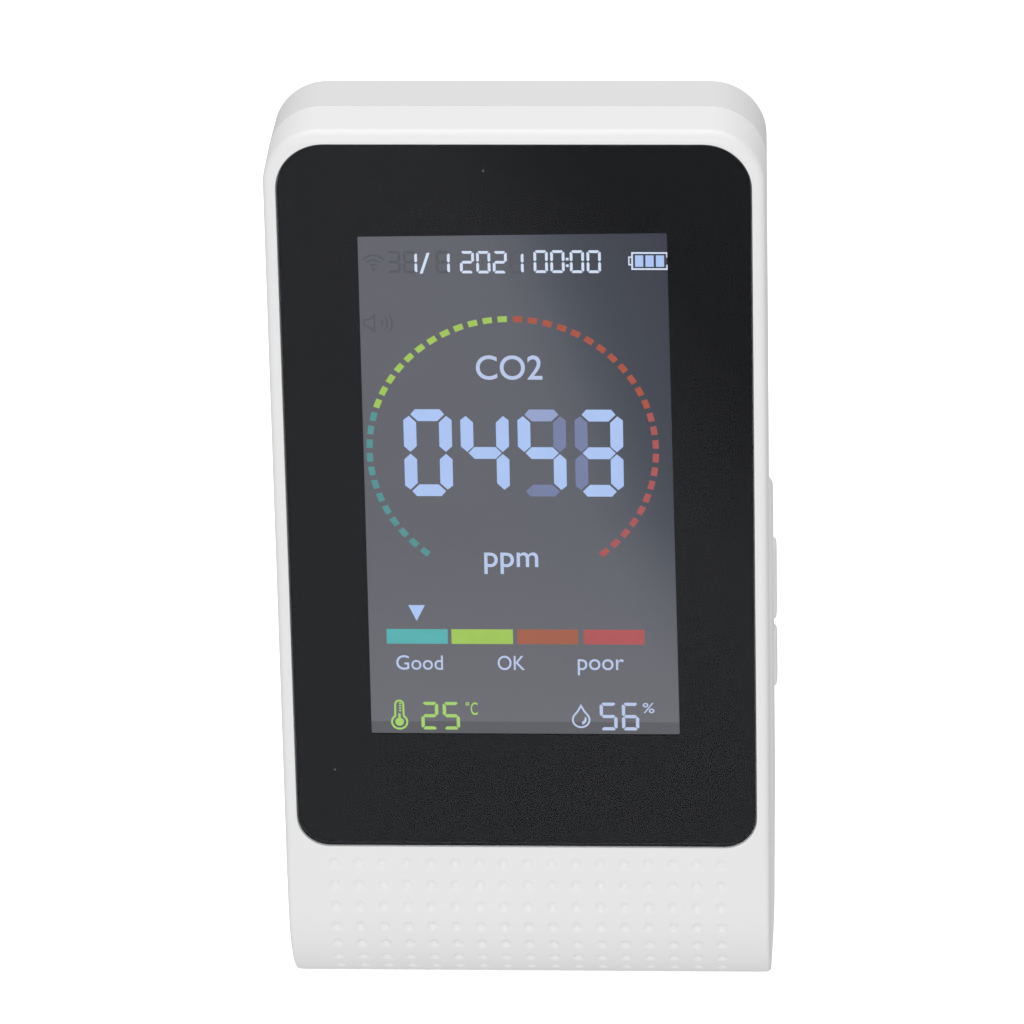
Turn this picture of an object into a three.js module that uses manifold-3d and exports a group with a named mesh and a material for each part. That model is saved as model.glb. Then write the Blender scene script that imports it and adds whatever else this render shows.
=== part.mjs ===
// Desktop air quality monitor: a leaning slab with a glass front, a rounded chin and a rear bulge.
// Millimetres, +Z up. The front faces -Y, and the origin is on the table, under the middle.
//
// Most pieces are built in the leaned frame of the front face. Its origin is the middle of the
// glass: x runs to the right, d runs into the body (the group's Y) and s runs up the face
// (the group's Z). Pieces that lie level, such as the feet, are built in the upright frame.

import * as THREE from "three";
import { mergeVertices } from "three/addons/utils/BufferGeometryUtils.js";
import Module from "manifold-3d";

const wasm = await Module();
wasm.setup();

// ---------------------------------------------------------------- driving dimensions

const LEAN = THREE.MathUtils.degToRad(10);
const DEPTH = 45; // front of the chin to the rear wall
const FOOT_HEIGHT = 1; // how far the feet hold the base off the table
const WALL = 2;
const FIT = 0.2; // side clearance of a piece in its seat
const REST = 0.3; // gap left between pieces that touch

const BODY_HALF = 38;
const BULGE_HALF = 38.65;
const GLASS = {
  half: 35.85,
  halfHeight: 59.1,
  front: 0.1,
  rear: 1.6,
  topRadius: 7.8,
  bottomRadius: 5,
};
const BEZEL = BODY_HALF - GLASS.half;
const FACE_TOP = GLASS.halfHeight + BEZEL;
const FACE_BOTTOM = -69.6; // here the flat face turns into the chin
const CHIN_RADIUS = 19;
const SLAB_DEPTH = 21.4;
const EDGE_RADIUS = 1;
const PARTING = { front: 11, rear: 11.2 }; // where the two shells meet
const RAMP = { start: new THREE.Vector2(10.2, -0.5), slope: THREE.MathUtils.degToRad(-21.9) };
const RAMP_RADIUS = 12;
const HEEL_RADIUS = 5.5;
const HOLLOW_RADIUS = 3; // in the corner between the slab's back and the ramp
const SHOULDER = 1.2; // depth of the flare from the slab's side to the bulge's side
const LIP = { outer: 1.15, height: 1.4 }; // the front shell's lip inside the rear shell

const SEAT = { front: 2.2, rear: 3.8 }; // the ledge behind the glass
const LCD = { half: 27, bottom: -43.5, top: 48.5, front: 1.9, rear: 4.1 };
const LCD_OPENING = { half: 27.5, bottom: -49.4, top: 49.2 };
const ADHESIVE = { margin: 0.4, half: 29, halfHeight: 51, gap: 0.15 };
const BACKLIGHT = { front: 4.3, rear: 6.8 };
const TRAY = { rim: 1.2, front: 4.1, plate: 7, rear: 8, eye: 4.4, arm: 6, armHalf: 1.5 };
const BOARD = { half: 33, bottom: -52, top: 48, front: 10.8, rear: 12.4, radius: 2, hole: 1.2 };
const ON_BOARD = BOARD.rear + REST; // where the parts on the back of the board start
const CHIP = { half: 6, bottom: 8, top: 20, thickness: 1.4 };

const CASE_SCREWS = [[-31, 52], [31, 52], [-31, -72], [31, -72]];
const CASE_SCREW = { head: 2.3, headHeight: 1.7, shank: 1.25, seat: 14.2, tip: 6 };
const SCREW_GAP = 0.15; // under a screw's head
const CASE_BOSS = { radius: 3.2, rear: 12.3, hole: 1.45, holeEnd: 5 };
const WELL = { radius: 4, front: 12.6, bore: 2.8, hole: 1.5 };
const BOARD_SCREWS = [[-30, 44], [30, 44], [-30, -48], [30, -48]];
const BOARD_SCREW = { head: 1.9, headHeight: 1.3, shank: 0.95, tip: 7 };
const BOARD_BOSS = { radius: 2.6, rear: 10.5, hole: 1.15, holeEnd: 5.5 };

const BUTTON = { d: 15.5, width: 4, face: 39.05, flange: 35.4, lap: 0.6, stem: 33.9, radius: 1.4 };
const BUTTONS = { power: { top: -13.1, bottom: -26.4 }, set: { top: -28.1, bottom: -38 } };
const STEM_HALF = 1.2;
const SWITCH = { left: 27.2, right: 31.9, half: 3, rear: 17.8, boreEnd: 29.9 };
const PLUNGER = { left: 30.6, right: 33.7, radius: 1.2, clearance: 0.15 };

const USB = { mouth: -38.3, back: -31, s: -20, halfLength: 4.5, height: 3.2, shell: 0.3 };
const TONGUE = { sunk: 1, half: 0.35, halfLength: 3.3 };
const VENT = { slots: 7, pitch: 4.2, height: 1.6, half: 15, middle: 44 };
const MESH = { margin: 3, thickness: 0.4 };
const FEET = { front: [-7.5, -1.5], rear: [13, 18.5] }; // stretches of Y
const FOOT = { half: 30, top: 1.4, pocket: 1.7 };
const BATTERY = { half: 25, front: -8, rear: 18.2, bottom: 4.4, top: 13.4, radius: 2.5 };
const PAD = { half: 20, front: -4, rear: 15.2 };
const LEAD = { radius: 0.65, straight: 5, y: 4 };

// ---------------------------------------------------------------- the two frames

// Limits that lie clear of the whole body, for pieces that cut right through it.
const BELOW = -95;
const ABOVE = FACE_TOP + 1;
const BEHIND = DEPTH + 10;

const CHIN_CENTRE = new THREE.Vector2(CHIN_RADIUS - DEPTH / 2, FOOT_HEIGHT + CHIN_RADIUS);
const REAR_WALL = DEPTH / 2;

const monitor = new THREE.Group();
const leaned = new THREE.Group();
leaned.rotation.x = -LEAN;
leaned.position.set(
  0,
  CHIN_CENTRE.x - CHIN_RADIUS * Math.cos(LEAN) - FACE_BOTTOM * Math.sin(LEAN),
  CHIN_CENTRE.y + CHIN_RADIUS * Math.sin(LEAN) - FACE_BOTTOM * Math.cos(LEAN),
);
leaned.updateMatrix();
monitor.add(leaned);
const uprightToLeaned = leaned.matrix.clone().invert();

// The (d, s) of a point given by its Y and Z in the upright frame.
function toLeaned(y, z) {
  const point = new THREE.Vector3(0, y, z).applyMatrix4(uprightToLeaned);
  return new THREE.Vector2(point.y, point.z);
}

// ---------------------------------------------------------------- outlines

// Moves every edge of a counterclockwise outline inwards.
function insetOutline(points, distance) {
  const inward = (a, b) => new THREE.Vector2(a.y - b.y, b.x - a.x).normalize();
  return points.map((point, i) => {
    const first = inward(points.at(i - 1), point);
    const second = inward(point, points[(i + 1) % points.length]);
    const reach = distance / (1 + first.dot(second));
    return point.clone().addScaledVector(first.add(second), reach);
  });
}

// Replaces each corner with an arc of its radius, in steps of about `step` degrees.
function roundCorners(points, radii, step = 11.25) {
  return points.flatMap((point, i) => {
    const radius = radii[i];
    if (radius <= 0) return [point.clone()];
    const toBefore = points.at(i - 1).clone().sub(point).normalize();
    const toAfter = points[(i + 1) % points.length].clone().sub(point).normalize();
    const half = Math.acos(toBefore.dot(toAfter)) / 2;
    const middle = toBefore.clone().add(toAfter).setLength(radius / Math.sin(half)).add(point);
    const reach = radius / Math.tan(half);
    const start = toBefore.multiplyScalar(reach).add(point).sub(middle).angle();
    const end = toAfter.multiplyScalar(reach).add(point).sub(middle).angle();
    const sweep = THREE.MathUtils.euclideanModulo(end - start + Math.PI, 2 * Math.PI) - Math.PI;
    const steps = Math.max(2, Math.ceil(Math.abs(THREE.MathUtils.radToDeg(sweep)) / step));
    return Array.from({ length: steps + 1 }, (_, k) => {
      const angle = start + (sweep * k) / steps;
      return new THREE.Vector2(Math.cos(angle), Math.sin(angle)).multiplyScalar(radius).add(middle);
    });
  });
}

// A rectangle, counterclockwise from its lower left corner, with bottom and top corner radii.
function rectangle(left, right, bottom, top, bottomRadius = 0, topRadius = bottomRadius) {
  const corners = [
    new THREE.Vector2(left, bottom),
    new THREE.Vector2(right, bottom),
    new THREE.Vector2(right, top),
    new THREE.Vector2(left, top),
  ];
  return roundCorners(corners, [bottomRadius, bottomRadius, topRadius, topRadius], 15);
}

// ---------------------------------------------------------------- geometry helpers

const AXIS_X = new THREE.Vector3(1, 0, 0);
const AXIS_Y = new THREE.Vector3(0, 1, 0);
const AXIS_Z = new THREE.Vector3(0, 0, 1);

// An outline of (d, s) drawn out along x.
function prismX(outline, from, to) {
  const shape = new THREE.Shape(outline);
  const geometry = new THREE.ExtrudeGeometry(shape, { depth: to - from, bevelEnabled: false });
  geometry.applyMatrix4(new THREE.Matrix4().makeBasis(AXIS_Y, AXIS_Z, AXIS_X));
  return geometry.translate(from, 0, 0);
}

// An outline of (x, s) drawn out along d, with a hole where `inner` is given.
function prismD(outline, from, to, inner) {
  const shape = new THREE.Shape(outline);
  if (inner) shape.holes.push(new THREE.Path(inner));
  const geometry = new THREE.ExtrudeGeometry(shape, { depth: to - from, bevelEnabled: false });
  geometry.applyMatrix4(new THREE.Matrix4().makeBasis(AXIS_X, AXIS_Z, AXIS_Y.clone().negate()));
  return geometry.translate(0, to, 0);
}

// An outline of (x, d) drawn out along s.
function prismS(outline, from, to) {
  const shape = new THREE.Shape(outline);
  const geometry = new THREE.ExtrudeGeometry(shape, { depth: to - from, bevelEnabled: false });
  return geometry.translate(0, 0, from);
}

function block(left, right, front, rear, bottom, top) {
  const geometry = new THREE.BoxGeometry(right - left, rear - front, top - bottom);
  return geometry.translate((left + right) / 2, (front + rear) / 2, (bottom + top) / 2);
}

// A cylinder along d.
function rodD(x, s, radius, front, rear, sides = 24) {
  const geometry = new THREE.CylinderGeometry(radius, radius, rear - front, sides);
  return geometry.translate(x, (front + rear) / 2, s);
}

// A cylinder along x.
function rodX(d, s, radius, left, right, sides = 20) {
  const geometry = new THREE.CylinderGeometry(radius, radius, right - left, sides);
  return geometry.rotateZ(-Math.PI / 2).translate((left + right) / 2, d, s);
}

function toSolid(geometry) {
  const bare = geometry.clone();
  for (const name of ["normal", "uv"]) bare.deleteAttribute(name);
  const merged = mergeVertices(bare, 1e-4);
  const mesh = new wasm.Mesh({
    numProp: 3,
    vertProperties: new Float32Array(merged.attributes.position.array),
    triVerts: new Uint32Array(merged.index.array),
  });
  return new wasm.Manifold(mesh);
}

function toGeometry(solid) {
  const mesh = solid.getMesh();
  const geometry = new THREE.BufferGeometry();
  geometry.setAttribute("position", new THREE.BufferAttribute(mesh.vertProperties, 3));
  geometry.setIndex(new THREE.BufferAttribute(mesh.triVerts, 1));
  return geometry;
}

function join(solid, ...geometries) {
  return geometries.reduce((sum, geometry) => sum.add(toSolid(geometry)), solid);
}

function cut(solid, ...geometries) {
  return geometries.reduce((rest, geometry) => rest.subtract(toSolid(geometry)), solid);
}

// ---------------------------------------------------------------- materials

const paint = (color, roughness, metalness = 0) =>
  new THREE.MeshStandardMaterial({ color, roughness, metalness });

const whitePlastic = paint(0xe9eaeb, 0.5);
const blackGlass = paint(0x17181b, 0.08);
const foam = paint(0x1c1c1c, 0.9);
const lcdGlass = paint(0x62646a, 0.2);
const frostedPlastic = paint(0xdfe6ee, 0.5);
const trayPlastic = paint(0x2b2d30, 0.6);
const flexFilm = paint(0xb8752c, 0.45);
const circuitBoard = paint(0x1f5a35, 0.5);
const chipPlastic = paint(0x1a1a1c, 0.6);
const goldPlate = paint(0xb9974a, 0.35, 0.8);
const filterPaper = paint(0xf1f1ec, 0.9);
const steel = paint(0xb6b9bd, 0.35, 0.9);
const pouch = paint(0xa9adb3, 0.4, 0.5);
const connectorPlastic = paint(0xe8e3d4, 0.55);
const redLead = paint(0xb1241f, 0.5);
const blackLead = paint(0x161616, 0.5);
const meshFabric = paint(0x3a3b3e, 0.9);
const footRubber = paint(0x2a2b2d, 0.85);

function add(group, name, geometry, material) {
  const mesh = new THREE.Mesh(geometry, material);
  mesh.name = name;
  group.add(mesh);
}

// ---------------------------------------------------------------- the body's outer forms

// The side view, sharp-cornered: chin, heel, bulge, hollow, back top and face top.
const chinReach = CHIN_RADIUS / Math.tan((Math.PI / 2 - LEAN) / 2);
const chinCorner = new THREE.Vector2(0, FACE_BOTTOM - chinReach);
const heelCorner = toLeaned(REAR_WALL, FOOT_HEIGHT);
const rampAt = (d) => RAMP.start.y + (d - RAMP.start.x) * Math.tan(RAMP.slope);

// The (d, s) where the ramp's line reaches the upright rear wall.
function rampEnd() {
  const wallUp = toLeaned(REAR_WALL, FOOT_HEIGHT + 1).sub(heelCorner);
  const step = (rampAt(heelCorner.x) - heelCorner.y) / (wallUp.y - Math.tan(RAMP.slope) * wallUp.x);
  return heelCorner.clone().addScaledVector(wallUp, step);
}

const SIDE_VIEW = [
  chinCorner,
  heelCorner,
  rampEnd(),
  new THREE.Vector2(SLAB_DEPTH, rampAt(SLAB_DEPTH)),
  new THREE.Vector2(SLAB_DEPTH, FACE_TOP),
  new THREE.Vector2(0, FACE_TOP),
];
const BULGE_VIEW = [chinCorner, heelCorner, rampEnd(), new THREE.Vector2(0, rampAt(0))];

// The slab with the bulge's side view, at the slab's width, shrunk by `inset` all round.
function slabForm(inset) {
  const radii = [
    CHIN_RADIUS - inset,
    HEEL_RADIUS - inset,
    RAMP_RADIUS - inset,
    HOLLOW_RADIUS + inset,
    EDGE_RADIUS - inset,
    EDGE_RADIUS - inset,
  ];
  const half = BODY_HALF - inset;
  const side = roundCorners(insetOutline(SIDE_VIEW, inset), radii);
  const topRadius = GLASS.topRadius + BEZEL - inset;
  const front = rectangle(-half, half, chinCorner.y, FACE_TOP - inset, 0, topRadius);
  return toSolid(prismX(side, -half, half)).intersect(toSolid(prismD(front, -1, BEHIND)));
}

// The wider bulge, shrunk by `inset` all round, from the face plane back.
function bulgeForm(inset) {
  const radii = [CHIN_RADIUS - inset, HEEL_RADIUS - inset, RAMP_RADIUS - inset, 0];
  const half = BULGE_HALF - inset;
  return toSolid(prismX(roundCorners(insetOutline(BULGE_VIEW, inset), radii), -half, half));
}

// Everything behind the parting line, with the shoulders where the bulge flares out.
function rearRegion() {
  const plan = [
    new THREE.Vector2(-BODY_HALF, PARTING.rear),
    new THREE.Vector2(BODY_HALF, PARTING.rear),
    new THREE.Vector2(BULGE_HALF, PARTING.rear + SHOULDER),
    new THREE.Vector2(BULGE_HALF, BEHIND),
    new THREE.Vector2(-BULGE_HALF, BEHIND),
    new THREE.Vector2(-BULGE_HALF, PARTING.rear + SHOULDER),
  ];
  return toSolid(prismS(plan, chinCorner.y, ABOVE));
}

const slabCavity = slabForm(WALL);

// ---------------------------------------------------------------- front shell

function frontShell() {
  const half = BODY_HALF + 1;
  const ledge = block(-half, half, -1, SEAT.rear, -GLASS.halfHeight - WALL, FACE_TOP);
  let shell = cut(slabForm(0), block(-half, half, PARTING.front, BEHIND, BELOW, ABOVE));
  shell = shell.subtract(cut(slabCavity, ledge));

  const lip = slabForm(LIP.outer).subtract(slabCavity);
  const lipEnd = PARTING.front + LIP.height;
  const lipBand = block(-half, half, PARTING.front - 1, lipEnd, BELOW, ABOVE);
  shell = shell.add(lip.intersect(toSolid(lipBand)));

  const recess = rectangle(
    -GLASS.half - FIT,
    GLASS.half + FIT,
    -GLASS.halfHeight - FIT,
    GLASS.halfHeight + FIT,
    GLASS.bottomRadius + FIT,
    GLASS.topRadius + FIT,
  );
  const opening = block(
    -LCD_OPENING.half,
    LCD_OPENING.half,
    -1,
    SEAT.rear + 1,
    LCD_OPENING.bottom,
    LCD_OPENING.top,
  );
  shell = cut(shell, prismD(recess, -1, SEAT.front), opening);

  for (const [x, s] of CASE_SCREWS) {
    const root = s > FACE_BOTTOM ? SEAT.rear - 1 : WALL - 0.5;
    shell = join(shell, rodD(x, s, CASE_BOSS.radius, root, CASE_BOSS.rear));
    shell = cut(shell, rodD(x, s, CASE_BOSS.hole, CASE_BOSS.holeEnd, CASE_BOSS.rear + 1, 16));
  }
  for (const [x, s] of BOARD_SCREWS) {
    shell = join(shell, rodD(x, s, BOARD_BOSS.radius, SEAT.rear - 1, BOARD_BOSS.rear));
    shell = cut(shell, rodD(x, s, BOARD_BOSS.hole, BOARD_BOSS.holeEnd, BOARD_BOSS.rear + 1, 16));
  }
  return toGeometry(shell);
}

add(leaned, "front_shell", frontShell(), whitePlastic);

// ---------------------------------------------------------------- rear shell

// The level slots through the upright rear wall, in the leaned frame.
function ventSlots() {
  const half = VENT.height / 2;
  return Array.from({ length: VENT.slots }, (_, i) => {
    const z = VENT.middle + (i - (VENT.slots - 1) / 2) * VENT.pitch;
    const outline = rectangle(-VENT.half, VENT.half, z - half, z + half, half - 0.01);
    return prismD(outline, REAR_WALL - WALL - 1, REAR_WALL + 1).applyMatrix4(uprightToLeaned);
  });
}

// The outline of a button, or of its opening and its flange when it is grown.
function buttonOutline({ top, bottom }, grow) {
  const front = BUTTON.d - BUTTON.width / 2 - grow;
  const rear = BUTTON.d + BUTTON.width / 2 + grow;
  return rectangle(front, rear, bottom - grow, top + grow, BUTTON.radius + grow / 2);
}

function rearShell() {
  let shell = slabForm(0).add(bulgeForm(0)).intersect(rearRegion());
  shell = shell.subtract(slabCavity).subtract(bulgeForm(WALL));

  const rabbetEnd = PARTING.front + LIP.height + REST;
  const band = block(-BODY_HALF, BODY_HALF, PARTING.front, rabbetEnd, BELOW, FACE_TOP);
  shell = shell.subtract(slabForm(LIP.outer - FIT).intersect(toSolid(band)));

  const outer = slabForm(0).add(bulgeForm(0));
  for (const [x, s] of CASE_SCREWS) {
    const well = toSolid(rodD(x, s, WELL.radius, WELL.front, BEHIND)).intersect(outer);
    shell = shell.add(well);
    shell = cut(
      shell,
      rodD(x, s, WELL.bore, CASE_SCREW.seat, BEHIND),
      rodD(x, s, WELL.hole, WELL.front - 1, CASE_SCREW.seat + 1, 16),
    );
  }
  for (const button of Object.values(BUTTONS)) {
    shell = cut(shell, prismX(buttonOutline(button, FIT), BODY_HALF - WALL - 2, BULGE_HALF + 1));
  }
  const socketMiddle = ON_BOARD + USB.height / 2;
  const port = rectangle(
    socketMiddle - USB.height / 2 - REST,
    socketMiddle + USB.height / 2 + REST,
    USB.s - USB.halfLength - REST,
    USB.s + USB.halfLength + REST,
    USB.height / 2,
  );
  shell = cut(shell, prismX(port, -BULGE_HALF - 1, USB.mouth + 2), ...ventSlots());
  for (const [front, rear] of Object.values(FEET)) {
    const half = FOOT.half + FIT;
    const pocket = block(-half, half, front - FIT, rear + FIT, 0, FOOT.pocket);
    shell = cut(shell, pocket.applyMatrix4(uprightToLeaned));
  }
  return toGeometry(shell);
}

add(leaned, "rear_shell", rearShell(), whitePlastic);

// ---------------------------------------------------------------- glass and display

function glassOutline(inset) {
  return rectangle(
    -GLASS.half + inset,
    GLASS.half - inset,
    -GLASS.halfHeight + inset,
    GLASS.halfHeight - inset,
    GLASS.bottomRadius - inset,
    GLASS.topRadius - inset,
  );
}

add(leaned, "front_glass", prismD(glassOutline(0), GLASS.front, GLASS.rear), blackGlass);
add(
  leaned,
  "glass_adhesive",
  prismD(
    glassOutline(ADHESIVE.margin),
    GLASS.rear + ADHESIVE.gap,
    SEAT.front - ADHESIVE.gap,
    rectangle(-ADHESIVE.half, ADHESIVE.half, -ADHESIVE.halfHeight, ADHESIVE.halfHeight),
  ),
  foam,
);

const acrossLcd = (front, rear) => block(-LCD.half, LCD.half, front, rear, LCD.bottom, LCD.top);
add(leaned, "lcd_panel", acrossLcd(LCD.front, LCD.rear), lcdGlass);
add(leaned, "lcd_backlight", acrossLcd(BACKLIGHT.front, BACKLIGHT.rear), frostedPlastic);

// A tray behind the backlight, with an eye round each of the board's bosses.
function displayCarrier() {
  const inner = LCD.half + FIT;
  const outer = inner + TRAY.rim;
  const bottom = LCD.bottom - FIT - TRAY.rim;
  const top = LCD.top + FIT + TRAY.rim;
  let tray = toSolid(block(-outer, outer, TRAY.front, TRAY.rear, bottom, top));
  for (const [x, s] of BOARD_SCREWS) {
    const inward = x - Math.sign(x) * TRAY.arm;
    const [left, right] = [Math.min(x, inward), Math.max(x, inward)];
    const arm = block(left, right, TRAY.plate, TRAY.rear, s - TRAY.armHalf, s + TRAY.armHalf);
    tray = join(tray, rodD(x, s, TRAY.eye, TRAY.plate, TRAY.rear), arm);
  }
  for (const [x, s] of BOARD_SCREWS) {
    tray = cut(tray, rodD(x, s, BOARD_BOSS.radius + REST, TRAY.front - 1, TRAY.rear + 1));
  }
  const pocket = block(-inner, inner, 0, TRAY.plate, LCD.bottom - FIT, LCD.top + FIT);
  return toGeometry(cut(tray, pocket));
}

add(leaned, "display_carrier", displayCarrier(), trayPlastic);

// A film that leaves the panel's lower edge and turns back up to the board's connector.
const FLEX = { half: 12, front: 3.4, rear: 9.2, turn: -46, end: -41.3, thickness: 0.3 };
const FLEX_PLUG = { half: 13, height: 4.7 };

function displayFlex() {
  const middle = (FLEX.front + FLEX.rear) / 2;
  const start = LCD.bottom - REST;
  const turn = (radius, from, to) =>
    Array.from({ length: 13 }, (_, i) => {
      const angle = from + ((to - from) * i) / 12;
      return new THREE.Vector2(middle + radius * Math.cos(angle), FLEX.turn + radius * Math.sin(angle));
    });
  const outer = (FLEX.rear - FLEX.front + FLEX.thickness) / 2;
  const inner = outer - FLEX.thickness;
  const outline = [
    new THREE.Vector2(middle - outer, start),
    ...turn(outer, Math.PI, 2 * Math.PI),
    new THREE.Vector2(middle + outer, FLEX.end),
    new THREE.Vector2(middle + inner, FLEX.end),
    ...turn(inner, 2 * Math.PI, Math.PI),
    new THREE.Vector2(middle - inner, start),
  ];
  return prismX(outline, -FLEX.half, FLEX.half);
}

add(leaned, "display_flex", displayFlex(), flexFilm);
add(
  leaned,
  "display_connector",
  block(
    -FLEX_PLUG.half,
    FLEX_PLUG.half,
    TRAY.rear + REST,
    BOARD.front - REST,
    FLEX.end + REST,
    FLEX.end + REST + FLEX_PLUG.height,
  ),
  connectorPlastic,
);

// ---------------------------------------------------------------- main board and what it carries

function mainBoard() {
  const { half, bottom, top, front, rear } = BOARD;
  const outline = rectangle(-half, half, bottom, top, BOARD.radius);
  const holes = BOARD_SCREWS.map(([x, s]) => rodD(x, s, BOARD.hole, front - 1, rear + 1, 16));
  return toGeometry(cut(toSolid(prismD(outline, front, rear)), ...holes));
}

add(leaned, "main_board", mainBoard(), circuitBoard);
add(
  leaned,
  "controller_chip",
  block(-CHIP.half, CHIP.half, ON_BOARD, ON_BOARD + CHIP.thickness, CHIP.bottom, CHIP.top),
  chipPlastic,
);

// The infrared CO2 cell stands on two rows of legs, with its gas filter on the back.
const CELL = { left: -10, right: 23, bottom: -32, top: -12, front: 14.2, rear: 21.8, radius: 1.5 };
const LEG = { margin: 2, width: 2, bottom: -28, top: -16 };
const FILTER = { left: 0.3, right: 12.7, bottom: -26.2, top: -17.8, sunk: 0.2, proud: 0.3 };

function co2Cell() {
  const { left, right, bottom, top, front, rear, radius } = CELL;
  const body = toSolid(prismD(rectangle(left, right, bottom, top, radius), front, rear));
  const legs = [left + LEG.margin, right - LEG.margin - LEG.width].map((x) =>
    block(x, x + LEG.width, ON_BOARD, front + 1, LEG.bottom, LEG.top),
  );
  const filterSeat = block(
    FILTER.left - REST,
    FILTER.right + REST,
    rear - FILTER.sunk - FIT,
    rear + 1,
    FILTER.bottom - REST,
    FILTER.top + REST,
  );
  return toGeometry(cut(join(body, ...legs), filterSeat));
}

add(leaned, "co2_sensor", co2Cell(), goldPlate);
add(
  leaned,
  "co2_filter",
  block(
    FILTER.left,
    FILTER.right,
    CELL.rear - FILTER.sunk,
    CELL.rear + FILTER.proud,
    FILTER.bottom,
    FILTER.top,
  ),
  filterPaper,
);

// The temperature and humidity chip on its own small board, clear of the warm main board.
const SENSOR_BOARD = { left: -28, right: -16, bottom: -32, top: -22, lift: 2, thickness: 0.8 };
const SENSOR_PINS = { left: -26, right: -18, bottom: -31.5, top: -29.5 };
const SENSOR = { left: -23.5, right: -20.5, bottom: -27.5, top: -24.5, thickness: 1 };

function sensorBoard() {
  const { left, right, bottom, top, lift, thickness } = SENSOR_BOARD;
  const front = ON_BOARD + lift;
  const board = toSolid(block(left, right, front, front + thickness, bottom, top));
  const pins = block(
    SENSOR_PINS.left,
    SENSOR_PINS.right,
    ON_BOARD,
    front + FIT,
    SENSOR_PINS.bottom,
    SENSOR_PINS.top,
  );
  return toGeometry(join(board, pins));
}

const sensorFront = ON_BOARD + SENSOR_BOARD.lift + SENSOR_BOARD.thickness + FIT;
add(leaned, "sensor_board", sensorBoard(), circuitBoard);
add(
  leaned,
  "humidity_sensor",
  block(
    SENSOR.left,
    SENSOR.right,
    sensorFront,
    sensorFront + SENSOR.thickness,
    SENSOR.bottom,
    SENSOR.top,
  ),
  chipPlastic,
);

const BUZZER = { x: -20, s: -41, radius: 6, height: 5.4, hole: 1, holeDepth: 1.4 };

function buzzer() {
  const { x, s, radius, height, hole, holeDepth } = BUZZER;
  const top = ON_BOARD + height;
  const can = toSolid(rodD(x, s, radius, ON_BOARD, top, 32));
  return toGeometry(cut(can, rodD(x, s, hole, top - holeDepth, top + 1, 12)));
}

add(leaned, "buzzer", buzzer(), chipPlastic);

// A side-facing charging socket: a thin steel shell with a tongue inside.
function usbSocket() {
  const middle = ON_BOARD + USB.height / 2;
  const outline = (inset) => {
    const half = USB.height / 2 - inset;
    const halfLength = USB.halfLength - inset;
    return rectangle(middle - half, middle + half, USB.s - halfLength, USB.s + halfLength, half - 0.05);
  };
  const hollow = prismX(outline(USB.shell), USB.mouth - 1, USB.back - 1);
  const socket = cut(toSolid(prismX(outline(0), USB.mouth, USB.back)), hollow);
  const tongue = block(
    USB.mouth + TONGUE.sunk,
    USB.back,
    middle - TONGUE.half,
    middle + TONGUE.half,
    USB.s - TONGUE.halfLength,
    USB.s + TONGUE.halfLength,
  );
  return toGeometry(join(socket, tongue));
}

add(leaned, "usb_socket", usbSocket(), steel);

// ---------------------------------------------------------------- buttons and their switches

// A cap with an inner flange that keeps it in the wall, and a stem that reaches the switch.
function buttonCap(button) {
  const middle = (button.top + button.bottom) / 2;
  const flangeEnd = BULGE_HALF - WALL - REST;
  const cap = toSolid(prismX(buttonOutline(button, 0), BUTTON.flange, BUTTON.face));
  const flange = prismX(buttonOutline(button, BUTTON.lap), BUTTON.flange, flangeEnd);
  const stem = block(
    BUTTON.stem,
    BUTTON.flange + 0.5,
    BUTTON.d - STEM_HALF,
    BUTTON.d + STEM_HALF,
    middle - STEM_HALF,
    middle + STEM_HALF,
  );
  return toGeometry(join(cap, flange, stem));
}

function switchBody(middle) {
  const { left, right, half, rear, boreEnd } = SWITCH;
  const body = block(left, right, ON_BOARD, rear, middle - half, middle + half);
  const bore = rodX(BUTTON.d, middle, PLUNGER.radius + PLUNGER.clearance, boreEnd, right + 1);
  return toGeometry(cut(toSolid(body), bore));
}

for (const [name, button] of Object.entries(BUTTONS)) {
  const middle = (button.top + button.bottom) / 2;
  const plunger = rodX(BUTTON.d, middle, PLUNGER.radius, PLUNGER.left, PLUNGER.right);
  add(leaned, `${name}_button`, buttonCap(button), whitePlastic);
  add(leaned, `${name}_switch`, switchBody(middle), steel);
  add(leaned, `${name}_plunger`, plunger, chipPlastic);
}

// ---------------------------------------------------------------- screws

const TIP_LENGTH = 1.5;
const RECESS_HALF = 0.3;

// A pan-head screw along d, with its head at the rear, a pointed tip and a cross recess.
function screw(x, s, { head, headHeight, shank, tip }, seat) {
  const profile = [
    new THREE.Vector2(0, tip),
    new THREE.Vector2(shank, tip + TIP_LENGTH),
    new THREE.Vector2(shank, seat),
    new THREE.Vector2(head, seat),
    new THREE.Vector2(head, seat + headHeight * 0.6),
    new THREE.Vector2(head * 0.7, seat + headHeight),
    new THREE.Vector2(0, seat + headHeight),
  ];
  const body = toSolid(new THREE.LatheGeometry(profile, 20));
  const arm = head * 0.55;
  const floor = seat + headHeight * 0.45;
  const above = seat + headHeight + 1;
  const recess = [
    block(-arm, arm, floor, above, -RECESS_HALF, RECESS_HALF),
    block(-RECESS_HALF, RECESS_HALF, floor, above, -arm, arm),
  ];
  return toGeometry(cut(body, ...recess)).translate(x, 0, s);
}

CASE_SCREWS.forEach(([x, s], i) => {
  const seat = CASE_SCREW.seat + SCREW_GAP;
  add(leaned, `case_screw_${i + 1}`, screw(x, s, CASE_SCREW, seat), steel);
});
BOARD_SCREWS.forEach(([x, s], i) => {
  const seat = BOARD.rear + SCREW_GAP;
  add(leaned, `board_screw_${i + 1}`, screw(x, s, BOARD_SCREW, seat), steel);
});

// ---------------------------------------------------------------- battery, vent mesh and feet

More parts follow.
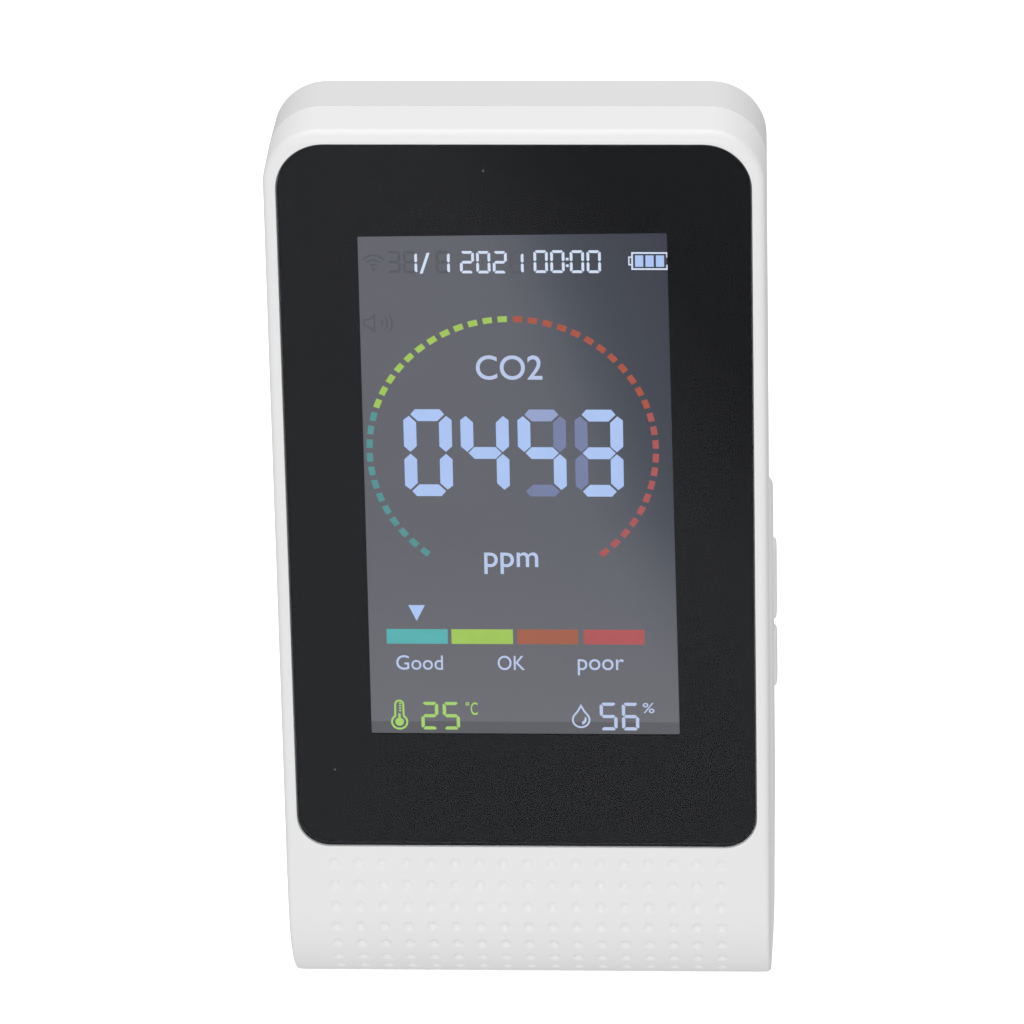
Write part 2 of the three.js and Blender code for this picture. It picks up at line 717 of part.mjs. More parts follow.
function batteryPouch() {
  const { half, front, rear, bottom, top, radius } = BATTERY;
  const outline = rectangle(front, rear, bottom, top, radius);
  return prismX(outline, -half, half);
}

add(monitor, "battery", batteryPouch(), pouch);
add(
  monitor,
  "battery_pad",
  block(
    -PAD.half,
    PAD.half,
    PAD.front,
    PAD.rear,
    FOOT_HEIGHT + WALL + FIT,
    BATTERY.bottom - FIT,
  ),
  foam,
);

// The plug on the board and the two leads that drop from it to the battery's top.
const PLUG = { left: 4, right: 12, front: ON_BOARD, rear: 17, bottom: -50, top: -45 };
add(
  leaned,
  "battery_connector",
  block(PLUG.left, PLUG.right, PLUG.front, PLUG.rear, PLUG.bottom, PLUG.top),
  connectorPlastic,
);

function batteryLead(x) {
  const d = (PLUG.front + PLUG.rear) / 2;
  const below = PLUG.bottom - LEAD.straight;
  const end = toLeaned(LEAD.y, BATTERY.top + REST);
  const above = toLeaned(LEAD.y, BATTERY.top + LEAD.straight);
  const path = new THREE.CatmullRomCurve3([
    new THREE.Vector3(x, d, PLUG.bottom - REST),
    new THREE.Vector3(x, d, below),
    new THREE.Vector3(x, (d + above.x) / 2, (below + above.y) / 2),
    new THREE.Vector3(x, above.x, above.y),
    new THREE.Vector3(x, end.x, end.y),
  ]);
  const section = Array.from({ length: 8 }, (_, i) => {
    const angle = (i * Math.PI) / 4;
    return new THREE.Vector2(Math.cos(angle), Math.sin(angle)).multiplyScalar(LEAD.radius);
  });
  return new THREE.ExtrudeGeometry(new THREE.Shape(section), {
    extrudePath: path,
    steps: 16,
    bevelEnabled: false,
  });
}

add(leaned, "battery_lead_red", batteryLead(PLUG.left + 2), redLead);
add(leaned, "battery_lead_black", batteryLead(PLUG.right - 2), blackLead);

const meshHalfHeight = (VENT.slots * VENT.pitch) / 2;
add(
  monitor,
  "vent_mesh",
  block(
    -VENT.half - MESH.margin,
    VENT.half + MESH.margin,
    REAR_WALL - WALL - REST - MESH.thickness,
    REAR_WALL - WALL - REST,
    VENT.middle - meshHalfHeight,
    VENT.middle + meshHalfHeight,
  ),
  meshFabric,
);

for (const [name, [front, rear]] of Object.entries(FEET)) {
  const foot = block(-FOOT.half, FOOT.half, front, rear, 0, FOOT.top);
  add(monitor, `${name}_foot`, foot, footRubber);
}

export default monitor;
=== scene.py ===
"""Looks of a desktop air quality monitor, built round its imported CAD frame.

Sizes are in millimetres and become metres when a mesh is made. Most pieces are drawn in the leaned
frame of the front face: x to the right, d into the body, s up the face, from the middle of the
glass. Pieces that lie level are drawn in the upright frame, which is the frame of the CAD model.
"""

import math

import bmesh
import bpy
from mathutils import Matrix, Vector


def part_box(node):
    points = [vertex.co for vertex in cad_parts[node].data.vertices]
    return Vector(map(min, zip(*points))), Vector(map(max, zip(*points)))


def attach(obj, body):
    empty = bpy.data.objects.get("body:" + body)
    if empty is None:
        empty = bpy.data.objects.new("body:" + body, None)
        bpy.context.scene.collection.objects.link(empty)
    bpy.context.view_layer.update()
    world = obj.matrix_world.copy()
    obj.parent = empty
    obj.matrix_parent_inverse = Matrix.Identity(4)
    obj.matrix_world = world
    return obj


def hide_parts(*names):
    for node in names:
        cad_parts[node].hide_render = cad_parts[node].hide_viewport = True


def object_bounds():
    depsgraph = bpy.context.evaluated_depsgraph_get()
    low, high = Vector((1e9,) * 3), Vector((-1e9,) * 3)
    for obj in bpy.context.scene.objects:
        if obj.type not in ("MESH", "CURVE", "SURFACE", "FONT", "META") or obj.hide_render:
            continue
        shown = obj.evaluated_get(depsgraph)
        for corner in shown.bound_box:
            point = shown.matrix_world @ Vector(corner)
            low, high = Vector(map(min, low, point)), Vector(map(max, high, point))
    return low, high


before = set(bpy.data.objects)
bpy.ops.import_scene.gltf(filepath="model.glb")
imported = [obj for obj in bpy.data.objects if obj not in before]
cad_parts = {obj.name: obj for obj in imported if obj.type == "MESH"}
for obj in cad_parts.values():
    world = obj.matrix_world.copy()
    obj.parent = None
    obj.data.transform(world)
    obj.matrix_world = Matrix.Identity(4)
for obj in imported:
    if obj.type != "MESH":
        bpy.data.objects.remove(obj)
cad_low, cad_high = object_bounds()

# ---------------------------------------------------------------- the two frames

MM = 0.001
LEAN = math.radians(10)
ACROSS = Vector((1, 0, 0))
INTO = Vector((0, math.cos(LEAN), -math.sin(LEAN)))
UP_FACE = Vector((0, math.sin(LEAN), math.cos(LEAN)))
GLASS_FRONT = 0.1
GLASS_REAR = 1.6

glass_low, glass_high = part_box("front_glass")
glass_depth = INTO * (GLASS_FRONT + GLASS_REAR) / 2 * MM
FACE_ORIGIN = (glass_low + glass_high) / 2 - glass_depth

UPRIGHT = Matrix.Scale(MM, 4)
FACE = Matrix.Translation(FACE_ORIGIN) @ (
    Matrix((ACROSS, INTO, UP_FACE)).transposed().to_4x4() @ Matrix.Scale(MM, 4)
)
TO_FACE = FACE.inverted()


def from_upright(y, z):
    """The (d, s) of a level point, all in millimetres."""
    point = TO_FACE @ (Vector((0, y, z)) * MM)
    return (point.y, point.z)


# ---------------------------------------------------------------- sizes, in millimetres

HALF = 38.0
BULGE_HALF = 38.55
GLASS_HALF = 35.85
GLASS_HALF_HEIGHT = 59.1
GLASS_RADII = (5.0, 7.2)  # bottom and top corners
FACE_TOP = 61.25
FACE_BOTTOM = -69.6
CORNER_RADIUS = 8.6
CHIN_RADIUS = 19.0
SLAB_DEPTH = 21.8
WALL = 2.0
FIT = 0.2
EDGE = 1.8
PARTING_FRONT = 11.0
PARTING_REAR = 11.06
SEAM = 0.08  # the small bevel of each shell at the parting line
SIDE_DRAFT = 0.0005  # how much the rear shell narrows per millimetre of depth
CHIN_TAPER = 0.005  # how much both shells narrow down the chin
CHIN_TAPER_START = -62.0
CHIN_TAPER_LENGTH = 24.0
LEDGE_FRONT = 2.2
LEDGE_REAR = 3.8
RAMP_DEPTH = 10.2  # the depth at which the ramp would reach RAMP_START
RAMP_START = -0.5
RAMP_SLOPE = math.tan(math.radians(-21.9))
RAMP_RADIUS = 12.0
HEEL_RADIUS = 5.5
HOLLOW_RADIUS = 3.0
LIP_INSET = 1.15
LIP_HEIGHT = 1.4
REAR_WALL = cad_high.y / MM
BASE = 1.0

CHIN_CENTRE = (CHIN_RADIUS, FACE_BOTTOM)
CASE_SCREWS = [(-31, 52), (31, 52), (-31, -72), (31, -72)]
BOARD_SCREWS = [(-30, 44), (30, 44), (-30, -48), (30, -48)]
CASE_BOSS = {"radius": 3.2, "end": 12.3, "hole": 1.45}
BOARD_BOSS = {"radius": 2.6, "end": 10.5, "hole": 1.15}
WELL_RADIUS = 4.0
WELL_START = 12.6
WELL_BORE = 2.8
WELL_SEAT = 14.2
SCREW_HOLE = 1.5
BUTTON_D = 15.5
BUTTON_HALF = 2.0
BUTTON_RADIUS = 1.4
BUTTONS = {"power_button": (-26.4, -13.1), "set_button": (-38.0, -28.1)}
PORT_D = 14.3
PORT_S = -20.0
PORT_HALF = 1.6
PORT_LONG_HALF = 4.5
PORT_GAP = 0.3
FEET = ("front_foot", "rear_foot")
POCKET_TOP = 1.7
VENT_MIDDLE = 44.0
VENT_PITCH = 4.2
VENT_SLOTS = 7
VENT_HALF = 15.0


# ---------------------------------------------------------------- outlines


def arc(centre, radius, start, end, steps):
    """Points on an arc from start to end, in degrees, both ends included."""
    angles = [math.radians(start + (end - start) * i / steps) for i in range(steps + 1)]
    return [(centre[0] + radius * math.cos(a), centre[1] + radius * math.sin(a)) for a in angles]


def rounded(corners, radii, step=9.0):
    """A closed counterclockwise outline with each corner replaced by an arc of its radius."""
    points = []
    for i, corner in enumerate(corners):
        radius = radii[i]
        if radius <= 0:
            points.append(tuple(corner))
            continue
        here = Vector(corner)
        before = (Vector(corners[i - 1]) - here).normalized()
        after = (Vector(corners[(i + 1) % len(corners)]) - here).normalized()
        half = math.acos(before.dot(after)) / 2
        middle = here + (before + after).normalized() * (radius / math.sin(half))
        reach = radius / math.tan(half)
        first = here + before * reach - middle
        last = here + after * reach - middle
        start = math.degrees(math.atan2(first.y, first.x))
        sweep = math.degrees(math.atan2(last.y, last.x)) - start
        sweep = (sweep + 180) % 360 - 180
        steps = max(2, math.ceil(abs(sweep) / step))
        points += arc(middle, radius, start, start + sweep, steps)
    return points


def rectangle(left, right, bottom, top, bottom_radius=0.0, top_radius=None, step=9.0):
    top_radius = bottom_radius if top_radius is None else top_radius
    corners = [(left, bottom), (right, bottom), (right, top), (left, top)]
    return rounded(corners, [bottom_radius, bottom_radius, top_radius, top_radius], step)


def inset(points, distance):
    """Moves every edge of a counterclockwise outline inwards by the same distance."""
    moved = []
    for i, point in enumerate(points):
        here = Vector(point)
        before = here - Vector(points[i - 1])
        after = Vector(points[(i + 1) % len(points)]) - here
        first = Vector((-before.y, before.x)).normalized()
        second = Vector((-after.y, after.x)).normalized()
        reach = distance / (1 + first.dot(second))
        moved.append(tuple(here + (first + second) * reach))
    return moved


def glass_outline(margin):
    """The glass outline, grown by margin, or shrunk where it is negative."""
    half = GLASS_HALF + margin
    height = GLASS_HALF_HEIGHT + margin
    return rectangle(-half, half, -height, height, GLASS_RADII[0] + margin, GLASS_RADII[1] + margin, 6)


# ---------------------------------------------------------------- meshes


def along_d(point, height):
    return (point[0], height, point[1])


def along_x(point, height):
    return (height, point[0], point[1])


def along_z(point, height):
    return (point[0], point[1], height)


def bands(count, loops):
    """The faces between closed loops of `count` points, each joined to the next."""
    faces = []
    for k in range(loops - 1):
        for i in range(count):
            j = (i + 1) % count
            faces.append([k * count + i, k * count + j, (k + 1) * count + j, (k + 1) * count + i])
    return faces


def capped(verts, count):
    """A closed solid from loops of `count` points."""
    ends = [list(range(count)), list(range(len(verts) - count, len(verts)))]
    return verts, ends + bands(count, len(verts) // count)


def stack(outline, levels, place):
    """A closed solid from one outline, repeated at each level's (inset, height)."""
    loops = [inset(outline, shrink) if shrink else outline for shrink, _ in levels]
    verts = [place(p, height) for loop, (_, height) in zip(loops, levels) for p in loop]
    return capped(verts, len(outline))


def tube_outline(x, s, radius):
    """The outline of a boss, a well or a screw hole."""
    return arc((x, s), radius, 0, 345, 23)


def low_edge(radius, height, steps=4):
    """Levels that round a solid's edge at its low end."""
    turns = [math.pi / 2 * i / steps for i in range(steps + 1)]
    return [(radius * (1 - math.sin(a)), height + radius * (1 - math.cos(a))) for a in turns]


def high_edge(radius, height, steps=4):
    """Levels that round a solid's edge at its high end."""
    turns = [math.pi / 2 * i / steps for i in range(steps, -1, -1)]
    return [(radius * (1 - math.sin(a)), height - radius * (1 - math.cos(a))) for a in turns]


def low_mouth(radius, height, steps=4):
    """Levels of a cutter that enters from a low surface and leaves that surface's edge rounded."""
    turns = [math.pi / 2 * i / steps for i in range(steps, -1, -1)]
    arcs = [(-radius * (1 - math.cos(a)), height + radius * (1 - math.sin(a))) for a in turns]
    return [(-radius, height - 1.0), *arcs]


def high_mouth(radius, height, steps=4):
    """Levels of a cutter that leaves through a high surface and leaves that surface's edge rounded."""
    turns = [math.pi / 2 * i / steps for i in range(steps + 1)]
    arcs = [(-radius * (1 - math.cos(a)), height - radius * (1 - math.sin(a))) for a in turns]
    return [*arcs, (-radius, height + 1.0)]


def merge(*parts):
    """Several (verts, faces) lists as one."""
    verts, faces = [], []
    for part_verts, part_faces in parts:
        start = len(verts)
        verts += part_verts
        faces += [[start + i for i in face] for face in part_faces]
    return verts, faces


def to_object(name, part, matrix):
    """A mesh object in metres from a (verts, faces) pair, welded, with its faces pointing out."""
    verts, faces = part
    mesh = bpy.data.meshes.new(name)
    mesh.from_pydata([Vector(v) for v in verts], [], faces)
    bm = bmesh.new()
    bm.from_mesh(mesh)
    bmesh.ops.remove_doubles(bm, verts=bm.verts, dist=1e-4)
    bmesh.ops.recalc_face_normals(bm, faces=bm.faces)
    bm.transform(matrix)
    bm.to_mesh(mesh)
    bm.free()
    obj = bpy.data.objects.new(name, mesh)
    bpy.context.scene.collection.objects.link(obj)
    return obj


def combine(target, operation, tool):
    """Applies one boolean to the target and removes the tool."""
    modifier = target.modifiers.new("boolean", "BOOLEAN")
    modifier.operation = operation
    modifier.object = tool
    modifier.solver = "MANIFOLD"
    bpy.context.view_layer.update()
    evaluated = target.evaluated_get(bpy.context.evaluated_depsgraph_get())
    mesh = bpy.data.meshes.new_from_object(evaluated)
    target.modifiers.clear()
    old = target.data
    target.data = mesh
    mesh.name = target.name
    bpy.data.meshes.remove(old)
    bpy.data.objects.remove(tool)


def cut(target, part, matrix=None):
    combine(target, "DIFFERENCE", to_object("tool", part, FACE if matrix is None else matrix))


def join(target, part, matrix=None):
    combine(target, "UNION", to_object("tool", part, FACE if matrix is None else matrix))


def taper_sides(obj):
    """Narrows a shell towards its rear, as moulding draft does, and a little towards its foot."""
    for vertex in obj.data.vertices:
        place = TO_FACE @ vertex.co
        behind = max(0.0, place.y - PARTING_REAR)
        below = min(1.0, max(0.0, (CHIN_TAPER_START - place.z) / CHIN_TAPER_LENGTH))
        place.x *= (1 - SIDE_DRAFT * behind) * (1 - CHIN_TAPER * below)
        vertex.co = FACE @ place


def clean(obj):
    """Welds slivers that a boolean can leave."""
    bm = bmesh.new()
    bm.from_mesh(obj.data)
    bmesh.ops.remove_doubles(bm, verts=bm.verts, dist=2e-6)
    bmesh.ops.dissolve_degenerate(bm, edges=bm.edges, dist=2e-6)
    bm.to_mesh(obj.data)
    bm.free()


def finish_piece(obj, material, body="housing", slot=None, replaces=(), sharp=32.0):
    """Shades a piece, paints it and sets what it rides on and stands for."""
    mesh = obj.data
    mesh.materials.clear()
    mesh.materials.append(material)
    mesh.shade_smooth()
    mesh.set_sharp_from_angle(angle=math.radians(sharp))
    weighted = obj.modifiers.new("weighted normals", "WEIGHTED_NORMAL")
    weighted.keep_sharp = True
    weighted.weight = 60
    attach(obj, body)
    if replaces:
        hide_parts(*replaces)
    return obj


def piece(name, part, material, matrix=None, **how):
    return finish_piece(to_object(name, part, FACE if matrix is None else matrix), material, **how)


# ---------------------------------------------------------------- materials


def linear(red, green, blue):
    """A display colour, 0 to 255, as linear light."""
    def channel(value):
        value /= 255
        return value / 12.92 if value <= 0.04045 else ((value + 0.055) / 1.055) ** 2.4

    return (channel(red), channel(green), channel(blue), 1.0)


class Material:
    """A node material with a Principled shader, and short ways to add the nodes that vary it."""

    def __init__(self, name, colour, roughness=0.5, metallic=0.0, ior=1.46):
        self.material = bpy.data.materials.new(name)
        self.material.use_nodes = True
        self.tree = self.material.node_tree
        self.shader = self.tree.nodes["Principled BSDF"]
        self.output = self.tree.nodes["Material Output"]
        self.set("Base Color", colour)
        self.set("Roughness", roughness)
        self.set("Metallic", metallic)
        self.set("IOR", ior)
        self.place = self.tree.nodes.new("ShaderNodeTexCoord").outputs["Object"]
        self.normal = None

    def set(self, socket, value):
        self.shader.inputs[socket].default_value = value

    def link(self, start, end):
        self.tree.links.new(start, end)
        return end

    def node(self, kind, **inputs):
        made = self.tree.nodes.new(kind)
        for name, value in inputs.items():
            socket = made.inputs[name.replace("_", " ")]
            if isinstance(value, bpy.types.NodeSocket):
                self.link(value, socket)
            else:
                socket.default_value = value
        return made

    def noise(self, size, detail=3.0, stretch=(1, 1, 1)):
        """Noise whose features are about `size` millimetres across."""
        scaled = self.node("ShaderNodeMapping", Vector=self.place)
        scaled.inputs["Scale"].default_value = stretch
        made = self.node("ShaderNodeTexNoise", Scale=1 / (size * MM), Detail=detail)
        self.link(scaled.outputs["Vector"], made.inputs["Vector"])
        return made.outputs["Fac"]

    def cells(self, size):
        return self.node("ShaderNodeTexVoronoi", Vector=self.place, Scale=1 / (size * MM))

    def math(self, operation, first, second=0.0, clamp=False):
        made = self.tree.nodes.new("ShaderNodeMath")
        made.operation = operation
        made.use_clamp = clamp
        for socket, value in zip(made.inputs, (first, second)):
            if isinstance(value, bpy.types.NodeSocket):
                self.link(value, socket)
            else:
                socket.default_value = value
        return made.outputs[0]

    def spread(self, value, low, high):
        """A 0 to 1 value stretched between low and high."""
        made = self.node("ShaderNodeMapRange", Value=value)
        made.inputs["To Min"].default_value = low
        made.inputs["To Max"].default_value = high
        return made.outputs["Result"]

    def ramp(self, value, stops):
        """A colour ramp through (position, colour) stops."""
        made = self.node("ShaderNodeValToRGB", Fac=value)
        elements = made.color_ramp.elements
        while len(elements) < len(stops):
            elements.new(1.0)
        for element, (position, colour) in zip(elements, stops):
            element.position = position
            element.color = colour
        return made.outputs["Color"]

    def mix(self, factor, first, second):
        made = self.tree.nodes.new("ShaderNodeMix")
        made.data_type = "RGBA"
        for name, value in (("Factor_Float", factor), ("A_Color", first), ("B_Color", second)):
            socket = next(s for s in made.inputs if s.identifier == name)
            if isinstance(value, bpy.types.NodeSocket):
                self.link(value, socket)
            else:
                socket.default_value = value
        return next(s for s in made.outputs if s.identifier == "Result_Color")

    def bump(self, height, depth):
        """Adds relief of about `depth` millimetres."""
        made = self.node("ShaderNodeBump", Height=height, Strength=1.0, Distance=depth * MM)
        if self.normal is not None:
            self.link(self.normal, made.inputs["Normal"])
        self.normal = made.outputs["Normal"]
        self.link(self.normal, self.shader.inputs["Normal"])

    def face_place(self):
        """The x, d and s of a point, in millimetres, in the frame of the front face."""
        shifted = self.node("ShaderNodeVectorMath", Vector=self.place)
        shifted.operation = "SUBTRACT"
        shifted.inputs[1].default_value = FACE_ORIGIN
        found = []
        for axis in (ACROSS, INTO, UP_FACE):
            dot = self.node("ShaderNodeVectorMath", Vector=shifted.outputs[0])
            dot.operation = "DOT_PRODUCT"
            dot.inputs[1].default_value = axis / MM
            found.append(dot.outputs["Value"])
        return found


def plastic(name, colour, roughness, grain=0.35, depth=0.006, tint=0.03):
    """Moulded plastic: fine spark-eroded grain, soft sheen changes and a little colour drift."""
    made = Material(name, colour, roughness)
    darker = tuple(c * (1 - tint) for c in colour[:3]) + (1.0,)
    made.link(made.mix(made.noise(24.0, 2.0), colour, darker), made.shader.inputs["Base Color"])
    sheen = made.spread(made.noise(5.0, 4.0), roughness - 0.05, roughness + 0.05)
    made.link(sheen, made.shader.inputs["Roughness"])
    made.bump(made.noise(grain, 2.0), depth)
    return made.material


def metal(name, colour, roughness, stretch=(1, 1, 1)):
    """Metal with faint drawing marks and cloudy roughness."""
    made = Material(name, colour, roughness, metallic=1.0)
    cloudy_sheen = made.spread(made.noise(1.2, 4.0, stretch), roughness - 0.08, roughness + 0.12)
    made.link(cloudy_sheen, made.shader.inputs["Roughness"])
    dull = tuple(c * 0.8 for c in colour[:3]) + (1.0,)
    made.link(made.mix(made.noise(2.5, 3.0), colour, dull), made.shader.inputs["Base Color"])
    made.bump(made.noise(0.2, 2.0, stretch), 0.004)
    return made.material


def soft(name, colour, roughness, pores):
    """Foam, rubber or paper: matt, with open pores of the given size."""
    made = Material(name, colour, roughness)
    made.set("Specular IOR Level", 0.3)
    holes = made.cells(pores)
    lighter = tuple(min(1.0, c * 1.5 + 0.01) for c in colour[:3]) + (1.0,)
    found = made.mix(holes.outputs["Distance"], colour, lighter)
    made.link(found, made.shader.inputs["Base Color"])
    made.bump(holes.outputs["Distance"], pores * 0.3)
    made.bump(made.noise(pores * 3, 3.0), pores * 0.2)
    return made.material


def circuit_board():
    """Green solder mask over copper tracks that run in two directions."""
    mask, track = linear(24, 84, 50), linear(38, 112, 66)
    made = Material("circuit_board", mask, 0.35)
    bricks = made.node("ShaderNodeTexBrick", Vector=made.place, Scale=1 / (4.5 * MM))
    bricks.inputs["Mortar Size"].default_value = 0.03
    bricks.inputs["Color1"].default_value = mask
    bricks.inputs["Color2"].default_value = mask
    bricks.inputs["Mortar"].default_value = track
    made.link(bricks.outputs["Color"], made.shader.inputs["Base Color"])
    made.bump(bricks.outputs["Fac"], 0.03)
    made.link(made.spread(made.noise(3.0), 0.28, 0.42), made.shader.inputs["Roughness"])
    return made.material


def foil_pouch():
    """The crinkled aluminium film of a battery pouch."""
    made = Material("pouch_film", linear(176, 180, 186), 0.34, metallic=0.75)
    made.bump(made.noise(4.0, 5.0), 0.25)
    made.bump(made.noise(0.5, 2.0), 0.02)
    made.link(made.spread(made.noise(2.0), 0.26, 0.44), made.shader.inputs["Roughness"])
    return made.material


def insulation(name, colour):
    """The sleeve of a thin wire: smooth, a little waxy, with faint extrusion lines."""
    made = Material(name, colour, 0.4)
    made.link(made.spread(made.noise(1.0), 0.32, 0.5), made.shader.inputs["Roughness"])
    made.bump(made.noise(0.3, 2.0, (1, 1, 0.1)), 0.01)
    return made.material


def specks(made, spacing, size, share):
    """A 0 or 1 value that marks sparse dust specks, on about `share` of the spacing's cells."""
    found = made.cells(spacing)
    near = made.math("LESS_THAN", found.outputs["Distance"], size / spacing)
    picked = made.node("ShaderNodeSeparateColor", Color=found.outputs["Color"]).outputs["Red"]
    return made.math("MULTIPLY", near, made.math("LESS_THAN", picked, share))


def glass_print():
    """The black ink behind the glass, with a bluish cast, the dust that the glass picks up, and a painted
    reflection that greys the ink everywhere but at the upper right.
    """
    deep, grey, dust = linear(8, 9, 13), linear(34, 34, 38), linear(120, 122, 128)
    made = Material("glass_print", deep, 0.5, ior=1.3)
    x, _, s = made.face_place()
    # painted reflection: the ink turns grey away from the upper right in place of the glass's own
    # reflection, and the ink itself reflects nothing
    slope = made.math("ADD", made.math("MULTIPLY", x, 1.5), s)
    share = made.math("DIVIDE", made.math("SUBTRACT", 72.0, slope), 36.0, clamp=True)
    cloudy_sheen = made.math("MULTIPLY", share, made.spread(made.noise(30.0, 2.0), 0.9, 1.0))
    ink_and_painted_reflection = made.mix(cloudy_sheen, deep, grey)
    dusty = made.mix(specks(made, 5.0, 0.16, 0.22), ink_and_painted_reflection, dust)
    made.link(dusty, made.shader.inputs["Base Color"])
    made.set("Specular IOR Level", 0.0)
    made.bump(made.noise(0.6), 0.002)
    return made.material


def clear_glass():
    """Thin clear glass: it lets the display through and mirrors a little more at grazing angles."""
    made = Material("clear_glass", (1, 1, 1, 1), 0.02)
    tree = made.tree
    clear = made.node("ShaderNodeBsdfTransparent", Color=(0.97, 0.98, 0.98, 1))
    gloss = made.node("ShaderNodeBsdfGlossy", Color=(1, 1, 1, 1))
    smear = made.spread(made.noise(14.0, 4.0), 0.015, 0.06)
    made.link(smear, gloss.inputs["Roughness"])
    share = made.node("ShaderNodeFresnel", IOR=1.22).outputs["Fac"]
    blend = tree.nodes.new("ShaderNodeMixShader")
    made.link(share, blend.inputs[0])
    made.link(clear.outputs[0], blend.inputs[1])
    made.link(gloss.outputs[0], blend.inputs[2])
    made.link(blend.outputs[0], made.output.inputs["Surface"])
    tree.nodes.remove(made.shader)
    return made.material


def glowing(name, colour, unevenness=0.12):
    """A lit display segment: its own light, a little uneven across the panel."""
    made = Material(name, (0.01, 0.01, 0.012, 1), 0.35)
    dimmer = tuple(c * (1 - unevenness) for c in colour[:3]) + (1.0,)
    found = made.mix(made.noise(3.0, 2.0), colour, dimmer)
    made.link(found, made.shader.inputs["Emission Color"])
    made.set("Emission Strength", 1.0)
    made.set("Specular IOR Level", 0.0)
    return made.material


def panel_glow():
    """The unlit part of the display: grey light through the cells, darker at the upper right."""
    made = Material("panel_glow", (0.01, 0.01, 0.012, 1), 0.35)
    made.set("Specular IOR Level", 0.0)
    x, _, s = made.face_place()
    slope = made.math("ADD", x, made.math("MULTIPLY", s, 0.35))
    share = made.math("DIVIDE", made.math("ADD", slope, 6.0), 42.0, clamp=True)
    stops = [
        (0.0, linear(101, 101, 109)),
        (0.38, linear(98, 99, 108)),
        (0.50, linear(90, 92, 101)),
        (0.60, linear(77, 81, 91)),
        (0.71, linear(67, 71, 81)),
        (0.86, linear(61, 64, 75)),
        (1.0, linear(58, 59, 72)),
    ]
    grey = made.ramp(share, stops)
    foot = made.math("LESS_THAN", s, -38.3)
    lower = made.math("DIVIDE", made.math("SUBTRACT", -4.0, s), 40.0, clamp=True)
    lifted = made.mix(lower, grey, linear(113, 113, 118))
    shaded = made.mix(made.math("MULTIPLY", foot, 0.32), lifted, (0.02, 0.02, 0.022, 1))
    mottled = made.mix(made.spread(made.noise(9.0, 3.0), 0.0, 0.10), shaded, (0.06, 0.06, 0.07, 1))
    made.link(mottled, made.shader.inputs["Emission Color"])
    made.set("Emission Strength", 1.0)
    return made.material


def rear_plastic_painted_shade():
    """The rear shell's plastic: the same white, with painted shade that greys it towards its top."""
    low, high = linear(235, 235, 236), linear(222, 222, 223)
    made = Material("rear_white_plastic_painted_shade", low, 0.5)
    _, _, s = made.face_place()
    # painted shade: the white darkens to grey with height, standing in for the darker shading of the top
    # band
    height = made.math("DIVIDE", s, 45.0, clamp=True)
    made.link(made.mix(height, low, high), made.shader.inputs["Base Color"])
    made.link(made.spread(made.noise(5.0, 4.0), 0.45, 0.55), made.shader.inputs["Roughness"])
    made.bump(made.noise(0.35, 2.0), 0.006)
    return made.material


WHITE = plastic("white_plastic", linear(238, 238, 238), 0.46)
REAR_WHITE_PAINTED_SHADE = rear_plastic_painted_shade()
WHITE_BUTTON = plastic("button_plastic", linear(236, 237, 239), 0.4, grain=0.25, depth=0.004)
PRINT = glass_print()
CLEAR = clear_glass()
PANEL = panel_glow()
BLACK_PLASTIC = plastic("black_plastic", linear(28, 28, 30), 0.45)
TRAY = plastic("tray_plastic", linear(44, 46, 50), 0.55)
FROSTED = plastic("frosted_plastic", linear(222, 228, 236), 0.5, grain=0.15)
CONNECTOR = plastic("connector_plastic", linear(232, 226, 208), 0.5)
STEEL = metal("steel", linear(186, 188, 192), 0.3)
GOLD = metal("gold_plate", linear(214, 178, 104), 0.28, (0.2, 1, 1))
FILM = plastic("flex_film", linear(186, 118, 46), 0.35, grain=0.6)
FOAM = soft("black_foam", linear(30, 30, 31), 0.95, 0.25)
RUBBER = soft("foot_rubber", linear(42, 43, 46), 0.85, 0.12)
PAPER = soft("filter_paper", linear(240, 240, 234), 0.95, 0.2)
FABRIC = plastic("dust_mesh", linear(58, 60, 64), 0.7, grain=0.1)
BOARD = circuit_board()
POUCH = foil_pouch()
RED_LEAD = insulation("lead_red", linear(178, 38, 32))
BLACK_LEAD = insulation("lead_black", linear(24, 24, 26))

# ---------------------------------------------------------------- front shell

DIMPLE_PITCH = 3.8
DIMPLE_COLUMNS = 17
DIMPLE_ROWS = 8
DIMPLE_RADIUS = 0.88
DIMPLE_DEPTH = 0.4
DIMPLE_RINGS = (1.45, 1.16, 1.02, 0.9, 0.75, 0.55, 0.3)
DIMPLE_TOP = -60.3  # where the first row's cells start
SIDE_STEPS = 4  # points along a side of a dimple's cell
EDGE_STEPS = 8
TOP_POWER = 2.0  # 2 rounds an edge as a circle does, more makes it squarer
SIDE_POWER = 3.2
CHIN_POWER = 5.5
EDGE_BASE = HALF - EDGE
parting_turn = math.acos((CHIN_RADIUS - PARTING_FRONT + SEAM) / CHIN_RADIUS)
CHIN_END = FACE_BOTTOM - CHIN_RADIUS * parting_turn


def on_chin(x, along, depth):
    """A point of the front: along the flat face, and from its lower end round the chin."""
    if along >= FACE_BOTTOM:
        return (x, depth, along)
    turn = (FACE_BOTTOM - along) / CHIN_RADIUS
    radius = CHIN_RADIUS - depth
    end_turn = math.acos((CHIN_RADIUS - PARTING_FRONT + SEAM) / radius)
    late = max(0.0, (turn - parting_turn * 0.7) / (parting_turn * 0.3))
    turn -= late * (parting_turn - end_turn)
    return (x, CHIN_RADIUS - radius * math.cos(turn), FACE_BOTTOM - radius * math.sin(turn))


def row_edges():
    edges = [DIMPLE_TOP - DIMPLE_PITCH * row for row in range(DIMPLE_ROWS)]
    return [*edges, CHIN_END]


